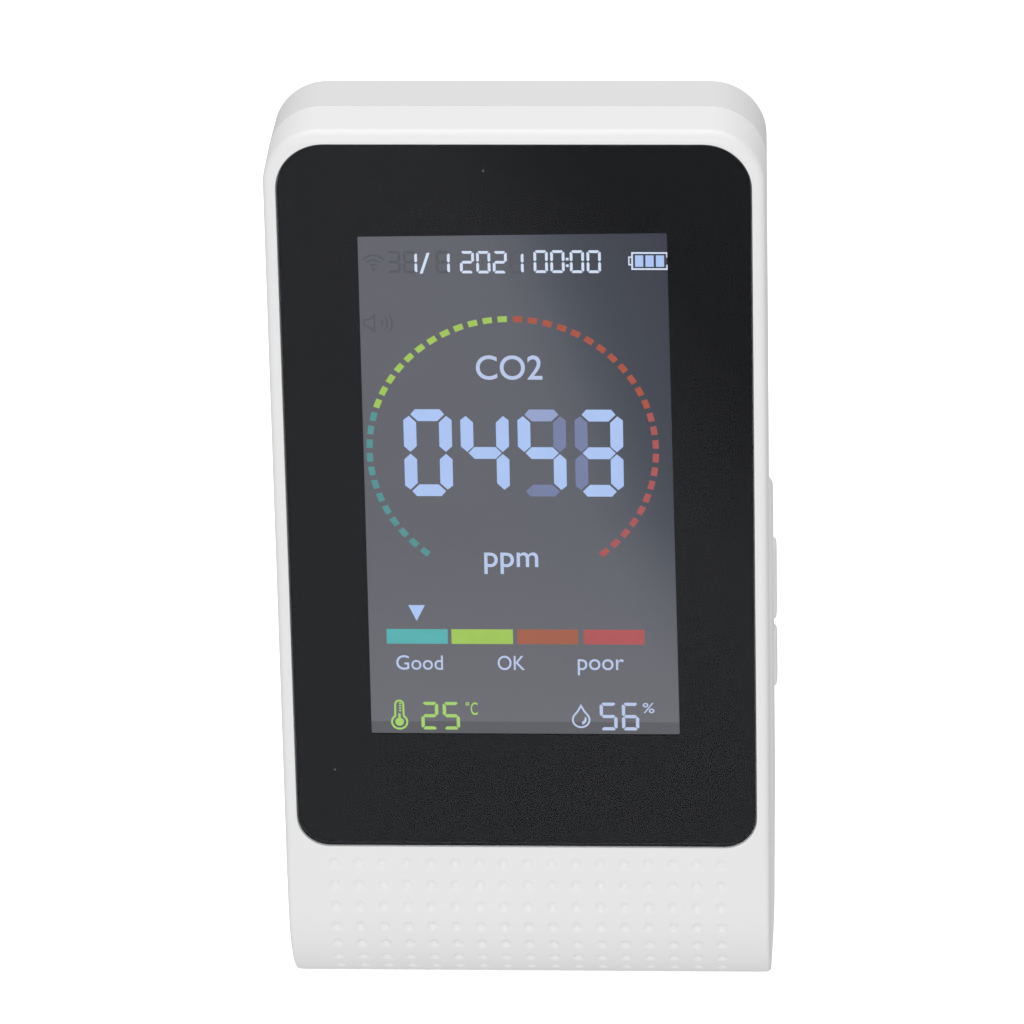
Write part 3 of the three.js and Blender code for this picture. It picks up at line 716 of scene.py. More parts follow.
def side_marks():
    """Every height at which the chin's mesh has a point, from the top down."""
    edges = row_edges()
    marks = [edges[0]]
    for upper, lower in zip(edges, edges[1:]):
        marks += [upper + (lower - upper) * i / SIDE_STEPS for i in range(1, SIDE_STEPS + 1)]
    return marks


def dimple_depth(share):
    return DIMPLE_DEPTH * max(0.0, 1 - (share / 1.16) ** 2) ** 1.5


def dimple_cell(left, upper, lower):
    """One square of the chin with a dimple in its middle."""
    right = left + DIMPLE_PITCH
    across = [left + DIMPLE_PITCH * i / SIDE_STEPS for i in range(SIDE_STEPS)]
    down = [upper + (lower - upper) * i / SIDE_STEPS for i in range(SIDE_STEPS)]
    border = [(x, lower) for x in across] + [(right, lower + upper - u) for u in down]
    border += [(left + right - x, upper) for x in across] + [(left, u) for u in down]
    middle = (left + DIMPLE_PITCH / 2, upper - DIMPLE_PITCH / 2)
    count = len(border)
    verts = [on_chin(x, u, 0.0) for x, u in border]
    for share in DIMPLE_RINGS:
        for i in range(count):
            angle = math.radians(-135 + 360 * i / count)
            x = middle[0] + share * DIMPLE_RADIUS * math.cos(angle)
            u = middle[1] + share * DIMPLE_RADIUS * math.sin(angle)
            verts.append(on_chin(x, u, dimple_depth(share)))
    verts.append(on_chin(*middle, dimple_depth(0.0)))
    faces = bands(count, len(DIMPLE_RINGS) + 1)
    start = len(DIMPLE_RINGS) * count
    faces += [[start + i, start + (i + 1) % count, len(verts) - 1] for i in range(count)]
    return verts, faces


def chin_margin(start, end):
    """The plain strip of the chin beside the dimples."""
    marks = side_marks()
    verts = [on_chin(x, u, 0.0) for u in marks for x in (start, end)]
    faces = [[2 * i, 2 * i + 1, 2 * i + 3, 2 * i + 2] for i in range(len(marks) - 1)]
    return verts, faces


def front_path():
    """The outline of the front from the lower right, over the top, to the lower left: each entry
    is a point of the flat part and the direction in which its edge rounds off."""
    corner = CORNER_RADIUS - EDGE
    centre_x = EDGE_BASE - corner
    centre_s = FACE_TOP - EDGE - corner
    right = [((EDGE_BASE, u), (1.0, 0.0)) for u in reversed(side_marks())]
    over = []
    for side, start in ((1, 0), (-1, 90)):
        for x, s in arc((side * centre_x, centre_s), corner, start, start + 90, 16):
            away = Vector((x - side * centre_x, s - centre_s)).normalized()
            over.append(((x, s), tuple(away)))
    left = [((-EDGE_BASE, u), (-1.0, 0.0)) for u in side_marks()]
    return right + over + left


def edge_power(point, away):
    """How square the front's edge is: round along the top, squarer down the sides and the chin."""
    down = min(1.0, max(0.0, (FACE_BOTTOM + 10 - point[1]) / 18))
    return TOP_POWER + (SIDE_POWER - TOP_POWER) * abs(away[0]) + (CHIN_POWER - SIDE_POWER) * down


def edge_curve(step, power):
    """How far out and how deep the rounded edge lies at a step, on a superellipse."""
    angle = math.pi / 2 * step / EDGE_STEPS
    out = EDGE * math.sin(angle) ** (2 / power)
    cosine = max(0.0, math.cos(angle))
    return out, EDGE * (1 - cosine ** (2 / power))


def shell_skin():
    """The closed block of the front shell, from the face back to the parting line."""
    path = front_path()
    marks = len(side_marks())
    first_column = -DIMPLE_COLUMNS * DIMPLE_PITCH / 2
    columns = [first_column + DIMPLE_PITCH * i for i in range(DIMPLE_COLUMNS)]
    edges = row_edges()
    parts = [
        dimple_cell(left, upper, lower) for left in columns for upper, lower in zip(edges, edges[1:])
    ]
    parts += [chin_margin(-EDGE_BASE, first_column), chin_margin(-first_column, EDGE_BASE)]

    face = [on_chin(*point, 0.0) for point, _ in path[marks - 1 : len(path) - marks + 1]]
    steps = DIMPLE_COLUMNS * SIDE_STEPS
    across = [first_column + DIMPLE_PITCH * i / SIDE_STEPS for i in range(steps + 1)]
    face += [(x, 0.0, DIMPLE_TOP) for x in across]
    parts.append((face, [list(range(len(face)))]))

    rings = []
    for step in range(EDGE_STEPS + 1):
        ring = []
        for point, away in path:
            out, depth = edge_curve(step, edge_power(point, away))
            ring.append(on_chin(point[0] + away[0] * out, point[1] + away[1] * out, depth))
        rings.append(ring)
    rings.append([wall_end(point) for point in rings[-1]])
    verts = [point for ring in rings for point in ring]
    count = len(path)
    faces = []
    for ring in range(len(rings) - 1):
        start = ring * count
        for i in range(count - 1):
            faces.append([start + i, start + i + 1, start + count + i + 1, start + count + i])
    parts.append((verts, faces))

    # The loop where the skin ends, closed along the chin's lower edge, and the bevel behind it.
    lower_left = [ring[-1] for ring in rings[:-1]]
    lower_right = [ring[0] for ring in rings[:-1]]
    lower = [on_chin(x, CHIN_END, 0.0) for x in (-EDGE_BASE, *across)]
    end_loop = rings[-1] + list(reversed(lower_left)) + lower + lower_right
    flat = []
    for point in end_loop:
        if not flat or (Vector(flat[-1]) - Vector((point[0], point[2]))).length > 1e-4:
            flat.append((point[0], point[2]))
    if (Vector(flat[0]) - Vector(flat[-1])).length < 1e-4:
        flat.pop()
    parts.append(bevelled_end(flat))
    return merge(*parts)


def wall_end(point):
    """Where the side wall under a point of the edge reaches the parting line."""
    x, d, s = point
    if s >= FACE_BOTTOM:
        return (x, PARTING_FRONT - SEAM, s)
    turn = math.atan2(FACE_BOTTOM - s, CHIN_RADIUS - d)
    reach = (CHIN_RADIUS - PARTING_FRONT + SEAM) * math.tan(turn)
    return (x, PARTING_FRONT - SEAM, FACE_BOTTOM - reach)


def bevelled_end(outline):
    inner = inset(outline, SEAM)
    count = len(outline)
    verts = [along_d(p, PARTING_FRONT - SEAM) for p in outline]
    verts += [along_d(p, PARTING_FRONT) for p in inner]
    return verts, [*bands(count, 2), list(range(count, 2 * count))]


def inner_form(front, shrink):
    """The hollow of the slab and the chin behind `front`, shrunk by `shrink` from the outside."""
    half = HALF - shrink
    turn = math.degrees(math.acos((CHIN_RADIUS - front) / (CHIN_RADIUS - shrink)))
    chin = arc(CHIN_CENTRE, CHIN_RADIUS - shrink, 180 + turn, 180 + 105, 12)
    back = PARTING_REAR + LIP_HEIGHT + 1
    side = [(front, FACE_TOP + 5), *chin, (SLAB_DEPTH + 12, chin[-1][1]), (SLAB_DEPTH + 12, FACE_TOP + 5)]
    side = [p for p in side if p[0] <= back] + [(back, FACE_BOTTOM - CHIN_RADIUS + 2), (back, FACE_TOP + 5)]
    plan = rectangle(-half, half, -110, FACE_TOP - shrink, 0, CORNER_RADIUS - shrink)
    form = to_object("hollow", stack(side, [(0, -half), (0, half)], along_x), FACE)
    combine(form, "INTERSECT", to_object("plan", stack(plan, [(0, -5), (0, 60)], along_d), FACE))
    return form


def chin_reach(shrink, depth):
    """How far down the chin's surface lies at a depth, when it is shrunk."""
    return FACE_BOTTOM - math.sqrt((CHIN_RADIUS - shrink) ** 2 - (CHIN_RADIUS - depth) ** 2)


def lip_outline(shrink, depth):
    half = HALF - shrink
    return rectangle(-half, half, chin_reach(shrink, depth), FACE_TOP - shrink, 1, CORNER_RADIUS - shrink)


def screw_boss(shell, x, s, radius, end, hole):
    """A post with a blind hole, bevelled at its end."""
    root = LEDGE_REAR - 1 if s > FACE_BOTTOM else WALL - 0.5
    bevel = 0.3
    post = [(0, root), (0, end - bevel), (bevel, end)]
    bore = [(0, root + 2.5), (0, end - bevel), (-bevel, end), (-bevel, end + 1)]
    join(shell, stack(tube_outline(x, s, radius), post, along_d))
    cut(shell, stack(tube_outline(x, s, hole), bore, along_d))


def front_shell():
    shell = to_object("front_shell_skin", shell_skin(), FACE)
    taper_sides(shell)
    combine(shell, "DIFFERENCE", inner_form(LEDGE_REAR, WALL))
    lip_end = PARTING_FRONT + LIP_HEIGHT
    outer = lip_outline(LIP_INSET, PARTING_FRONT)
    inner = lip_outline(WALL + 0.02, PARTING_FRONT)
    lip = to_object("lip", stack(outer, [(0, lip_end - 2.8), (0, lip_end)], along_d), FACE)
    cut(lip, stack(inner, [(0, lip_end - 3.4), (0, lip_end + 1)], along_d))
    combine(shell, "UNION", lip)

    recess = glass_outline(FIT)
    mouth = low_mouth(0.12, 0.0)
    cut(shell, stack(recess, [*mouth, (0, LEDGE_FRONT)], along_d))
    window = rectangle(-27.5, 27.5, -49.4, 49.2, 1)  # lets the display through
    cut(shell, stack(window, [(0, -1), (0, LEDGE_REAR + 1)], along_d))

    for x, s in CASE_SCREWS:
        screw_boss(shell, x, s, **CASE_BOSS)
    for x, s in BOARD_SCREWS:
        screw_boss(shell, x, s, **BOARD_BOSS)
    clean(shell)
    shell.name = "shell_front"
    return finish_piece(shell, WHITE, slot="white_shell", replaces=["front_shell"])


front_shell()

# ---------------------------------------------------------------- rear shell

SLAB_BOTTOM = -62.0  # inside the bulge
BULGE_EDGE = 1.6
BACK_EDGE = 0.55
FLARE_DEPTH = 1.3  # how far behind the parting line the bulge reaches its full width
TAPER_TOP = 19.0  # below this height the bulge narrows again, down to the slab's width
TAPER_BOTTOM = 4.0


def ramp_at(depth):
    return RAMP_START + (depth - RAMP_DEPTH) * RAMP_SLOPE


def bulge_outline(front, shrink=0.0):
    """The bulge's side view behind `front`, counterclockwise from the top of its front edge."""
    heel = Vector(from_upright(REAR_WALL, BASE))
    up_wall = Vector(from_upright(REAR_WALL, BASE + 1)) - heel
    climb = (ramp_at(heel.x) - heel.y) / (up_wall.y - RAMP_SLOPE * up_wall.x)
    knee = heel + up_wall * climb
    turn = math.degrees(math.acos((CHIN_RADIUS - front) / CHIN_RADIUS))
    chin = arc(CHIN_CENTRE, CHIN_RADIUS, 180 + turn, 280, 14)
    radii = [0, 0, HEEL_RADIUS, RAMP_RADIUS]
    top = (front, ramp_at(front))
    back = rounded([top, chin[-1], tuple(heel), tuple(knee)], radii, 6)
    outline = [top, *chin, *back[2:]]
    return inset(outline, shrink) if shrink else outline


def slab_outline(shrink=0.0):
    half = HALF - shrink
    return rectangle(-half, half, SLAB_BOTTOM, FACE_TOP - shrink, 0, CORNER_RADIUS - shrink, 6)


def flare_plan(extra):
    """A plan of the bulge, in x and d, that swells by `extra` behind the parting line."""
    turns = [math.radians(90) * i / 6 for i in range(7)]
    start = PARTING_REAR + SEAM
    right = [(HALF + extra * math.sin(a), start + FLARE_DEPTH * (1 - math.cos(a))) for a in turns]
    right = [(HALF - SEAM, PARTING_REAR), *right, (HALF + extra, 70.0)]
    return right + [(-x, d) for x, d in reversed(right)]


def bulge_limits():
    """A loft, level by level, that gives the bulge its flare and narrows it towards the base."""
    lean_tan, lean_cos = math.tan(LEAN), math.cos(LEAN)
    levels = [-2.0]
    levels += [TAPER_BOTTOM + (TAPER_TOP - TAPER_BOTTOM) * i / 10 for i in range(11)]
    levels.append(110.0)
    verts = []
    for z in levels:
        share = min(1.0, max(0.0, (z - TAPER_BOTTOM) / (TAPER_TOP - TAPER_BOTTOM)))
        plan = flare_plan((BULGE_HALF - HALF) * (1 - (1 - share) ** 2))
        for x, d in plan:
            verts.append((x, d, (z - FACE_ORIGIN.z / MM) / lean_cos + d * lean_tan))
    return capped(verts, len(plan))


def bulge_form():
    sides = [*low_edge(BULGE_EDGE, -BULGE_HALF, 8), *high_edge(BULGE_EDGE, BULGE_HALF, 8)]
    form = to_object("bulge", stack(bulge_outline(PARTING_REAR - 3), sides, along_x), FACE)
    combine(form, "INTERSECT", to_object("limits", bulge_limits(), FACE))
    return form


def hollow_fillet():
    """The soft corner between the slab's back and the ramp."""
    slope = math.atan(RAMP_SLOPE)
    corner = Vector((SLAB_DEPTH, ramp_at(SLAB_DEPTH)))
    half = (math.pi / 2 - slope) / 2
    reach = HOLLOW_RADIUS / math.tan(half)
    middle = (SLAB_DEPTH + HOLLOW_RADIUS, corner.y + reach)
    curve = arc(middle, HOLLOW_RADIUS, 180, 270 + math.degrees(slope), 8)
    deep = [(SLAB_DEPTH - 2, curve[0][1]), (SLAB_DEPTH - 2, corner.y - 2), (curve[-1][0], curve[-1][1] - 2)]
    outline = list(reversed(curve)) + deep
    ends = [(0.5, HALF), (0.15, HALF - 0.6), (0, HALF - 1.4)]
    levels = [(shrink, -x) for shrink, x in ends] + list(reversed(ends))
    return stack(outline, levels, along_x)


def vent_slot(z):
    half = 0.8
    outline = rectangle(-VENT_HALF, VENT_HALF, z - half, z + half, half - 0.01, step=18)
    return stack(outline, [(0, REAR_WALL - WALL - 1), *high_mouth(0.4, REAR_WALL)], along_d)


def button_outline(name, margin):
    bottom, top = BUTTONS[name]
    half = BUTTON_HALF + margin
    return rectangle(
        BUTTON_D - half, BUTTON_D + half, bottom - margin, top + margin, BUTTON_RADIUS + margin / 2
    )


def port_outline(margin, radius):
    half = PORT_HALF + margin
    long_half = PORT_LONG_HALF + margin
    return rectangle(PORT_D - half, PORT_D + half, PORT_S - long_half, PORT_S + long_half, radius)


def rear_shell():
    levels = [(SEAM, PARTING_REAR), (0, PARTING_REAR + SEAM), *high_edge(BACK_EDGE, SLAB_DEPTH, 5)]
    shell = to_object("rear_shell_skin", stack(slab_outline(), levels, along_d), FACE)
    combine(shell, "UNION", bulge_form())
    join(shell, hollow_fillet())
    taper_sides(shell)

    inner_half = BULGE_HALF - WALL
    cut(shell, stack(bulge_outline(PARTING_REAR - 4, WALL), [(0, -inner_half), (0, inner_half)], along_x))
    plan = slab_outline(WALL)
    cut(shell, stack(plan, [(0, 9), (0, SLAB_DEPTH - WALL)], along_d))
    rabbet = lip_outline(LIP_INSET - FIT, PARTING_FRONT)
    cut(shell, stack(rabbet, [(0, 10), (0, PARTING_FRONT + LIP_HEIGHT + 0.3)], along_d))

    deep = from_upright(REAR_WALL - 1, 0)[0] + 20
    for x, s in CASE_SCREWS:
        walls = stack(tube_outline(x, s, WELL_RADIUS), [(0, WELL_START), (0, deep)], along_d)
        well = to_object("well", walls, FACE)
        outer = to_object("outer", stack(slab_outline(), levels, along_d), FACE)
        combine(outer, "UNION", bulge_form())
        combine(well, "INTERSECT", outer)
        combine(shell, "UNION", well)
        hole = [(0, WELL_START - 1), (0, WELL_SEAT + 1)]
        cut(shell, stack(tube_outline(x, s, SCREW_HOLE), hole, along_d))
        cut(shell, stack(tube_outline(x, s, WELL_BORE), [(0, WELL_SEAT), (0, deep)], along_d))

    for name in BUTTONS:
        opening = button_outline(name, FIT)
        cut(shell, stack(opening, [(0, HALF - WALL - 2), *high_mouth(0.3, BULGE_HALF, 3)], along_x))
    port = [*low_mouth(0.35, -BULGE_HALF, 3), (0, -HALF + WALL + 1)]
    cut(shell, stack(port_outline(PORT_GAP, 1.6), port, along_x))

    for i in range(VENT_SLOTS):
        z = VENT_MIDDLE + (i - (VENT_SLOTS - 1) / 2) * VENT_PITCH
        cut(shell, vent_slot(z), UPRIGHT)
    for name in FEET:
        low, high = (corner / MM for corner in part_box(name))
        pocket = rectangle(low.x - FIT, high.x + FIT, low.y - FIT, high.y + FIT, 0.6)
        cut(shell, stack(pocket, [(0, 0), (0, POCKET_TOP)], along_z), UPRIGHT)
    clean(shell)
    shell.name = "shell_rear"
    return finish_piece(shell, REAR_WHITE_PAINTED_SHADE, slot="white_shell", replaces=["rear_shell"])


rear_shell()

# ---------------------------------------------------------------- glass

PRINT_FRONT = 1.15
WINDOW = [(-23.99, -40.2), (24.1, -40.2), (23.05, 44.45), (-23.91, 43.78)]


def front_glass():
    levels = [*low_edge(0.12, GLASS_FRONT, 3), (0, PRINT_FRONT - 0.03)]
    pane = stack(glass_outline(0), levels, along_d)
    piece("glass_pane", pane, CLEAR, slot="black_glass", replaces=["front_glass"])
    sheet = stack(glass_outline(-0.02), [(0, PRINT_FRONT), (0, GLASS_REAR)], along_d)
    ink = to_object("glass_print", sheet, FACE)
    window = rounded(WINDOW, [0.25] * 4, 30)
    cut(ink, stack(window, [(0, PRINT_FRONT - 1), (0, GLASS_REAR + 1)], along_d))
    finish_piece(ink, PRINT, slot="black_glass", replaces=["front_glass"])


front_glass()

# ---------------------------------------------------------------- display

LIT_FRONT = 1.79
LIT_REAR = 1.85
CELL_FRONT = 1.9
CELL_REAR = 4.1
LOWERED = 0.08  # moves every lit shape along the face

LIT = glowing("lit_white_blue", linear(182, 206, 253))
LIT_WHITE = glowing("lit_white", linear(222, 233, 255))
DIM = glowing("lit_dim", linear(124, 133, 170))
FADING = glowing("lit_fading", linear(158, 170, 212))
LABEL = glowing("lit_label", linear(196, 210, 244))
GHOST = glowing("unlit_segment", linear(89, 90, 98), 0.1)
TEAL = glowing("lit_teal", linear(92, 158, 158), 0.25)
TEAL_BRIGHT = glowing("lit_teal_bar", linear(92, 184, 184))
LIME = glowing("lit_lime", linear(172, 210, 96), 0.2)
ORANGE = glowing("lit_orange", linear(184, 90, 70), 0.25)
RED = glowing("lit_red", linear(184, 92, 94), 0.25)
ORANGE_BAR = glowing("lit_orange_bar", linear(172, 100, 76))
RED_BAR = glowing("lit_red_bar", linear(186, 90, 92))
GREEN = glowing("lit_green", linear(174, 220, 112))

LETTERS = {
    "0": "abcdef", "1": "bc", "2": "abdeg", "3": "abcdg", "5": "acdfg", "6": "acdefg", "8": "abcdefg",
}


def segment(letter, left, bottom, width, height, stroke, gap):
    """One stroke of a seven-segment digit, with its ends cut slantwise and its corners taken off."""
    top, middle = height, height / 2
    half = stroke / 2
    if letter in "ad":
        points = [
            (half + gap, top - half + gap), (stroke + 2 * gap, top - stroke),
            (width - stroke - 2 * gap, top - stroke), (width - half - gap, top - half + gap),
            (width - stroke * 0.92, top), (stroke * 0.92, top),
        ]
    elif letter == "g":
        points = [
            (half + 1.4 * gap, middle), (stroke + gap, middle - half),
            (width - stroke - gap, middle - half), (width - half - 1.4 * gap, middle),
            (width - stroke - gap, middle + half), (stroke + gap, middle + half),
        ]
    else:
        points = [
            (0, top - stroke * 0.92), (0, middle + half + gap), (half, middle + 1.4 * gap),
            (stroke, middle + half + gap), (stroke, top - stroke - 2 * gap), (half - gap, top - half - gap),
        ]
    if letter in "bc":
        points = [(width - x, s) for x, s in points]
    if letter in "cde":
        points = [(x, height - s) for x, s in points]
    return [(left + x, bottom + s) for x, s in points]


def digit(letters, left, right, bottom, top, stroke, gap):
    letters = LETTERS.get(letters, letters)
    return [segment(each, left, bottom, right - left, top - bottom, stroke, gap) for each in letters]


def plates(polygons, front=LIT_FRONT, rear=LIT_REAR):
    shifted = [[(x, s + LOWERED) for x, s in polygon] for polygon in polygons]
    return merge(*[stack(polygon, [(0, front), (0, rear)], along_d) for polygon in shifted])


def hoop(outline, width):
    """A closed line of the given width along an outline."""
    outer = [(x, s + LOWERED) for x, s in outline]
    inner = inset(outer, width)
    count = len(outer)
    loops = [(outer, LIT_FRONT), (inner, LIT_FRONT), (inner, LIT_REAR), (outer, LIT_REAR)]
    verts = [along_d(p, depth) for loop, depth in loops for p in loop]
    last = len(verts) - count
    closing = [[last + i, last + (i + 1) % count, (i + 1) % count, i] for i in range(count)]
    return verts, bands(count, len(loops)) + closing


def box(left, right, bottom, top):
    return [(left, bottom), (right, bottom), (right, top), (left, top)]


def disc(x, s, radius, steps=20):
    return arc((x, s), radius, 0, 360 - 360 / steps, steps - 1)


def lettering(name, text, material, left, right, bottom, top, weight=0.0):
    """Plain words in the built-in font, fitted to a box, as thin solid letters."""
    curve = bpy.data.curves.new(name, "FONT")
    curve.body = text
    curve.offset = weight
    curve.resolution_u = 5
    source = bpy.data.objects.new(name + "_curve", curve)
    bpy.context.scene.collection.objects.link(source)
    bpy.context.view_layer.update()
    mesh = bpy.data.meshes.new_from_object(source.evaluated_get(bpy.context.evaluated_depsgraph_get()))
    bpy.data.objects.remove(source)
    bpy.data.curves.remove(curve)
    bm = bmesh.new()
    bm.from_mesh(mesh)
    bmesh.ops.remove_doubles(bm, verts=bm.verts, dist=1e-5)
    xs = [v.co.x for v in bm.verts]
    ys = [v.co.y for v in bm.verts]
    wide = (right - left) / (max(xs) - min(xs))
    tall = (top - bottom) / (max(ys) - min(ys))
    x_start, y_start = min(xs), min(ys)
    for v in bm.verts:
        x, y = (v.co.x - x_start) * wide + left, (v.co.y - y_start) * tall + bottom
        v.co = (x, LIT_FRONT, y + LOWERED)
    made = bmesh.ops.extrude_face_region(bm, geom=bm.faces[:])
    moved = [v for v in made["geom"] if isinstance(v, bmesh.types.BMVert)]
    bmesh.ops.translate(bm, verts=moved, vec=(0, LIT_REAR - LIT_FRONT, 0))
    bmesh.ops.recalc_face_normals(bm, faces=bm.faces)
    bm.transform(FACE)
    bm.to_mesh(mesh)
    bm.free()
    mesh.name = name
    obj = bpy.data.objects.new(name, mesh)
    bpy.context.scene.collection.objects.link(obj)
    return finish_piece(obj, material, slot="lcd")


def lit(name, material, *parts):
    return piece(name, merge(*parts), material, slot="lcd")


def display_cell():
    outline = rectangle(-27, 27, -43.5, 48.5, 0.4)
    glass = stack(outline, [*low_edge(0.15, CELL_FRONT + 0.05, 2), (0, CELL_REAR)], along_d)
    piece("display_cell", glass, BLACK_PLASTIC, slot="lcd", replaces=["lcd_panel"])
    ground = rectangle(-26, 26, -42.5, 46.5, 0.3)
    ground_levels = [(0, CELL_FRONT), (0, CELL_FRONT + 0.04)]
    piece("display_ground", stack(ground, ground_levels, along_d), PANEL, slot="lcd")


BIG = {"bottom": 0.25, "top": 14.83, "stroke": 1.95, "gap": 0.13}
BIG_WIDTH = 7.4
BIG_DIGITS = [  # left edge, bright strokes, dim strokes, strokes that are fading
    (-17.72, "abcdef", "", ""),
    (-8.98, "bcfg", "", ""),
    (-0.21, "cfg", "bd", "a"),
    (8.55, "abcdg", "ef", ""),
]


def big_reading():
    def strokes(column):
        found = []
        for entry in BIG_DIGITS:
            if entry[column]:
                found += digit(entry[column], entry[0], entry[0] + BIG_WIDTH, **BIG)
        return plates(found)

    lit("reading_bright", LIT, strokes(1))
    lit("reading_dim", DIM, strokes(2))
    lit("reading_fading", FADING, strokes(3))
    lettering("gas_label", "CO2", LABEL, -6.40, 3.76, 19.80, 23.86, 0.006)
    lettering("unit_label", "ppm", LABEL, -5.80, 2.55, -12.94, -9.28, 0.006)


RING_CENTRE = (-1.04, 7.9)
RING_RADIUS = 22.0
RING_WIDTH = 0.95
RING_MARK = 1.42
RING_STEP = 6.0


def ring_gauge():
    """Marks from the lower left to the lower right, in four groups of twelve."""
    names = ("teal", "lime", "orange", "red")
    for group, (name, material) in enumerate(zip(names, (TEAL, LIME, ORANGE, RED))):
        marks = []
        for i in range(12):
            middle = 90 + 141 - RING_STEP * (group * 12 + i)
            half = math.degrees(RING_MARK / 2 / RING_RADIUS)
            outer = arc(RING_CENTRE, RING_RADIUS + RING_WIDTH / 2, middle - half, middle + half, 2)
            inner = arc(RING_CENTRE, RING_RADIUS - RING_WIDTH / 2, middle + half, middle - half, 2)
            marks.append(outer + inner)
        lit("ring_" + name, material, plates(marks))


def scale_bars():
    spans = [(-21.24, -11.75), (-11.16, -1.61), (-0.92, 8.52), (9.35, 18.80)]
    names = ("good", "fair", "high", "poor")
    for name, span, material in zip(names, spans, (TEAL_BRIGHT, LIME, ORANGE_BAR, RED_BAR)):
        lit("bar_" + name, material, plates([box(*span, -24.93, -22.45)]))
    lit("marker", LIT, plates([[(-17.73, -18.34), (-16.5, -21.02), (-15.19, -18.34)]]))
    lettering("word_good", "Good", LABEL, -19.87, -12.60, -29.42, -26.95)
    lettering("word_ok", "OK", LABEL, -4.08, 0.13, -29.42, -26.97)
    lettering("word_poor", "poor", LABEL, 8.36, 15.52, -30.25, -27.5)


def climate_row():
    """The thermometer and the temperature, the drop and the humidity."""
    small = {"bottom": -39.75, "top": -34.99, "stroke": 0.52, "gap": 0.05}
    x = -19.6
    bulb = arc((x, -38.45), 1.35, 127, 413, 18)
    tube = arc((x, -35.4), 0.78, 0, 180, 8)
    outline = bulb + tube
    liquid = [disc(x, -38.45, 0.68), box(x - 0.17, x + 0.17, -37.9, -37.0)]
    ticks = [box(x - 0.05, x + 0.32, -36.6 + 0.42 * i, -36.42 + 0.42 * i) for i in range(4)]
    lit("thermometer", GREEN, hoop(outline, 0.3), plates(liquid), plates(ticks))
    reading = digit("2", -16.19, -13.52, **small) + digit("5", -12.83, -10.17, **small)
    lit("temperature", GREEN, plates(reading))
    lit("degree", GREEN, hoop(disc(-8.95, -35.29, 0.3, 12), 0.14))
    lettering("celsius", "C", GREEN, -8.45, -7.35, -37.2, -35.05)

    x, s = 8.74, -37.95
    lobe = arc((x, s), 1.44, 148, 392, 20)
    drop = [*lobe, (x + 0.62, s + 1.55), (x, s + 2.72), (x - 0.62, s + 1.55)]
    shine = arc((x, s), 0.85, 280, 390, 8) + arc((x - 0.22, s + 0.3), 0.78, 372, 296, 8)
    lit("drop", LABEL, hoop(drop, 0.28), plates([shine]))
    reading = digit("5", 11.65, 14.41, **small) + digit("6", 15.10, 17.79, **small)
    lit("humidity", LABEL, plates(reading))
    lettering("percent", "%", LABEL, 18.36, 20.19, -36.75, -35.0)


def date_row():
    low, high = 37.45, 41.1
    thin = {"stroke": 0.42, "gap": 0.045}
    shapes = []
    for character, right in (("1", -14.95), ("1", -9.98), ("1", 1.24)):
        shapes += digit(character, right - 2.15, right, low - 0.1, high - 0.15, **thin)
    for character, left in (("2", -8.44), ("0", -5.96), ("2", -3.45)):
        shapes += digit(character, left, left + 2.15, low, high, **thin)
    for left in (2.76, 5.30, 8.27, 10.82):
        shapes += digit("0", left, left + 2.17, low + 0.08, high + 0.15, **thin)
    shapes.append([(-14.6, 37.4), (-14.15, 37.4), (-13.02, 40.8), (-13.47, 40.8)])
    shapes += [box(7.66, 8.08, s - 0.2, s + 0.2) for s in (39.81, 38.72)]
    lit("date_and_time", LIT_WHITE, plates(shapes))

    faint = []
    for letters, left in (("3", -19.6), ("adefg", -17.1), ("adefg", -12.15), ("adefg", -0.92)):
        faint += digit(letters, left, left + 2.15, low, high, **thin)
    lit("date_ghosts", GHOST, plates(faint, CELL_FRONT - 0.04, CELL_FRONT - 0.02))


def status_icons():
    """The battery at the upper right, and the faint unlit marks at the left."""
    frame_width = 0.26
    body = [box(17.6, 23.15, 38.06, 38.06 + frame_width), box(17.6, 23.15, 40.96 - frame_width, 40.96)]
    body += [box(17.6, 17.6 + frame_width, 38.3, 40.72)]
    body += [box(22.9, 23.15, 38.3, 38.9), box(22.9, 23.15, 40.1, 40.72)]
    body += [box(17.14, 17.6, 38.8, 39.0), box(17.14, 17.6, 40.04, 40.24), box(17.14, 17.34, 39.0, 40.04)]
    lit("battery_icon", LIT_WHITE, plates(body))
    cells = [box(left, left + 1.24, 38.58, 40.42) for left in (18.18, 19.76, 21.34)]
    lit("battery_charge", LIT, plates(cells))

    waves = []
    for radius in (0.8, 1.55, 2.3):
        outer = arc((-21.6, 38.2), radius, 40, 140, 8)
        inner = arc((-21.6, 38.2), radius - 0.3, 140, 40, 8)
        waves.append(outer + inner)
    waves.append(disc(-21.6, 38.05, 0.28, 10))
    speaker = [(-23.4, 28.5), (-22.6, 28.5), (-21.6, 27.4), (-21.6, 30.9), (-22.6, 29.8), (-23.4, 29.8)]
    sounds = []
    for radius in (1.0, 1.75, 2.5):
        outer = arc((-21.4, 29.15), radius, -38, 38, 8)
        inner = arc((-21.4, 29.15), radius - 0.25, 38, -38, 8)
        sounds.append(outer + inner)
    marks = plates([*waves, *sounds], CELL_FRONT - 0.04, CELL_FRONT - 0.02)
    lit("status_ghosts", GHOST, marks, hoop(speaker, 0.22))


display_cell()
big_reading()
ring_gauge()
scale_bars()
climate_row()
date_row()
status_icons()

# ---------------------------------------------------------------- buttons

BUTTON_FACE = 39.05
BUTTON_FLANGE = 35.4
BUTTON_STEM = 33.9
BUTTON_CROWN = [  # how far in from the outline, and how far below the face
    (0, 0.62), (0.05, 0.38), (0.18, 0.2), (0.4, 0.1), (0.75, 0.04), (1.2, 0.01), (1.38, 0),
]


